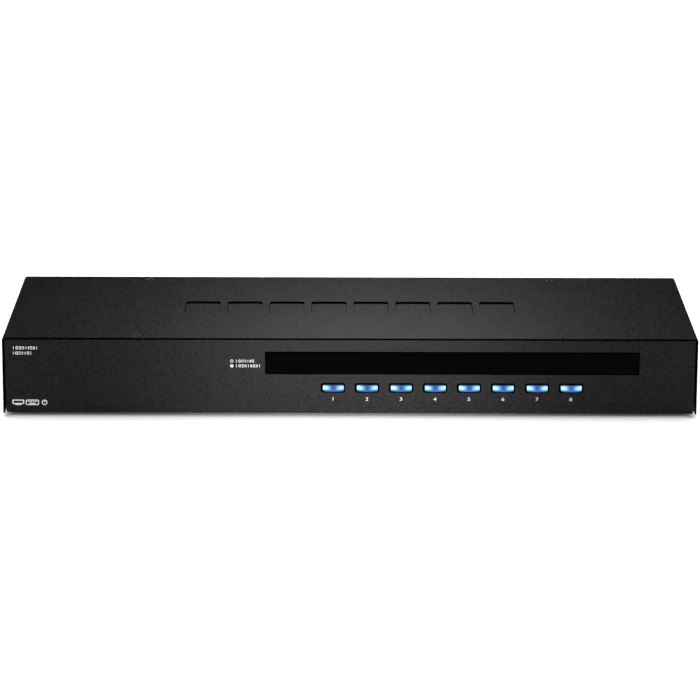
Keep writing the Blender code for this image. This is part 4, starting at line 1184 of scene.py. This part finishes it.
def make_power_jack():
    """A barrel jack: a moulded block, a metal sleeve and a centre pin."""
    low, high = node_box("power_jack")
    mouth = ((low.x + high.x) / 2, high.y, low.z + JACK_SOCKET)
    bore = Shape().pulled(circle(3.15, 32), mouth, [(1, 0.3), (0, 0.3), (-0.3, 0), (-9, 0)])
    block = Shape().block(low, high, 0.4)
    bored(block, "jack_block", bore, BLACK_PLASTIC, ("power_jack",))
    pin = Shape()
    pin.pulled(circle(1.05, 20), mouth, [(-9.5, 0), (-1.0, 0), (-0.6, -0.5)])
    sleeve = [(-8.8, 0), (-2, 0), (-2, -0.25), (-8.8, -0.25)]
    pin.pulled(circle(3.1, 32), mouth, sleeve, hollow=True)
    piece(pin, "jack_contacts", TINNED)


for make in (
    make_cover, make_base, make_cover_screws, make_feet,
    make_window, make_caps, make_switches, make_lamps, make_prints,
    make_boards, make_board_link, make_buzzer,
    make_video_ports, make_usb, make_ps2, make_power_jack,
):
    make()

# ---- Camera ------------------------------------------------------------------------------------
CAMERA_TARGET = Vector((-0.00008, FRONT * MM, FLOOR * MM + 0.03723))
CAMERA_DISTANCE = 1.8956
CAMERA_PITCH = math.radians(15.352)
CAMERA_YAW = 0.00237
CAMERA_ROLL = 0.00317
CAMERA_LENS = 172.32

forward = Vector((
    math.sin(CAMERA_YAW) * math.cos(CAMERA_PITCH),
    math.cos(CAMERA_YAW) * math.cos(CAMERA_PITCH),
    -math.sin(CAMERA_PITCH),
))
camera = bpy.data.objects.new("camera", bpy.data.cameras.new("camera"))
bpy.context.scene.collection.objects.link(camera)
camera.data.lens = CAMERA_LENS
camera.data.sensor_width = 36.0
camera.data.clip_start = 0.05
camera.location = CAMERA_TARGET - forward * CAMERA_DISTANCE
turn = forward.to_track_quat("-Z", "Y") @ Quaternion((0, 0, 1), CAMERA_ROLL)
camera.rotation_euler = turn.to_euler()
bpy.context.scene.camera = camera

# ---- Floor and lights --------------------------------------------------------------------------
floor = Shape().pulled(circle(30000.0, 64), (0, 0, 0), [(-20.0, 0), (0.0, 0)], "Z").made("floor")
floor.data.materials.append(FLOOR_WHITE)


def aimed_light(name, kind, place, target, energy):
    """A light at a place that points at a target, both in metres."""
    light = bpy.data.objects.new(name, bpy.data.lights.new(name, kind))
    bpy.context.scene.collection.objects.link(light)
    light.location = place
    light.rotation_euler = (Vector(target) - Vector(place)).to_track_quat("-Z", "Y").to_euler()
    light.data.energy = energy
    light.visible_camera = False
    return light


def softbox(name, place, target, energy, size, spread=math.pi):
    """A rectangular light, its size in metres."""
    light = aimed_light(name, "AREA", place, target, energy)
    light.data.shape = "RECTANGLE"
    light.data.size, light.data.size_y = size
    light.data.spread = spread
    return light


overhead = aimed_light("overhead", "SUN", (0, 0.42, 2), (0, 0, 0), 3.4)
overhead.data.angle = math.radians(42)
side_boxes = []
for name, side in (("left", -1), ("right", 1)):
    place = (side * 0.75, -0.55, 0.30)
    side_boxes.append(softbox(f"{name}_box", place, (0.03, 0, 0.03), 7.0, (0.25, 0.45)))
softbox("back_box", (0.017, 0.50, 0.50), (0.014, -0.04, 0.05), 0.165, (0.20, 0.15), math.radians(50))
front_spot = aimed_light("front_spot", "SPOT", (0.0, -1.15, 0.11), (0.0, 0.0, 0.021), 92.0)
front_spot.data.spot_size = math.radians(14.5)
front_spot.data.spot_blend = 1.0
front_spot.data.shadow_soft_size = 0.05
rear_fill = softbox("rear_fill", (0, 1.0, 0.30), (0, 0.07, 0.03), 9.0, (0.9, 0.35))


def leave_out(light, names):
    """Keeps a light off the named pieces, where its mirrored glare would hide their finish."""
    left_out = bpy.data.collections.new(f"left_out_of_{light.name}")
    for name in names:
        left_out.objects.link(bpy.data.objects[name])
    light.light_linking.receiver_collection = left_out
    for member in left_out.collection_objects:
        member.light_linking.link_state = "EXCLUDE"


leave_out(front_spot, ["cover_shell", "window_lens", *numbered("selector_cap")])
for light in (rear_fill, *side_boxes):
    leave_out(light, ["cover_shell"])

world = bpy.data.worlds.new("studio")
bpy.context.scene.world = world
world.use_nodes = True
tree = world.node_tree
way = add_node(tree, "ShaderNodeTexCoord").outputs["Generated"]
split = add_node(tree, "ShaderNodeSeparateXYZ", joins={"Vector": way})
ceiling = mapped(tree, split.outputs["Z"], 0.55, 0.9, 0.012, 0.3)
seen = add_node(tree, "ShaderNodeLightPath").outputs["Is Camera Ray"]
shade = add_node(tree, "ShaderNodeMix", {"B": 1.0}, {"Factor": seen, "A": ceiling})
tree.links.new(shade.outputs["Result"], tree.nodes["Background"].inputs["Color"])
bpy.context.scene.view_settings.view_transform = "Standard"
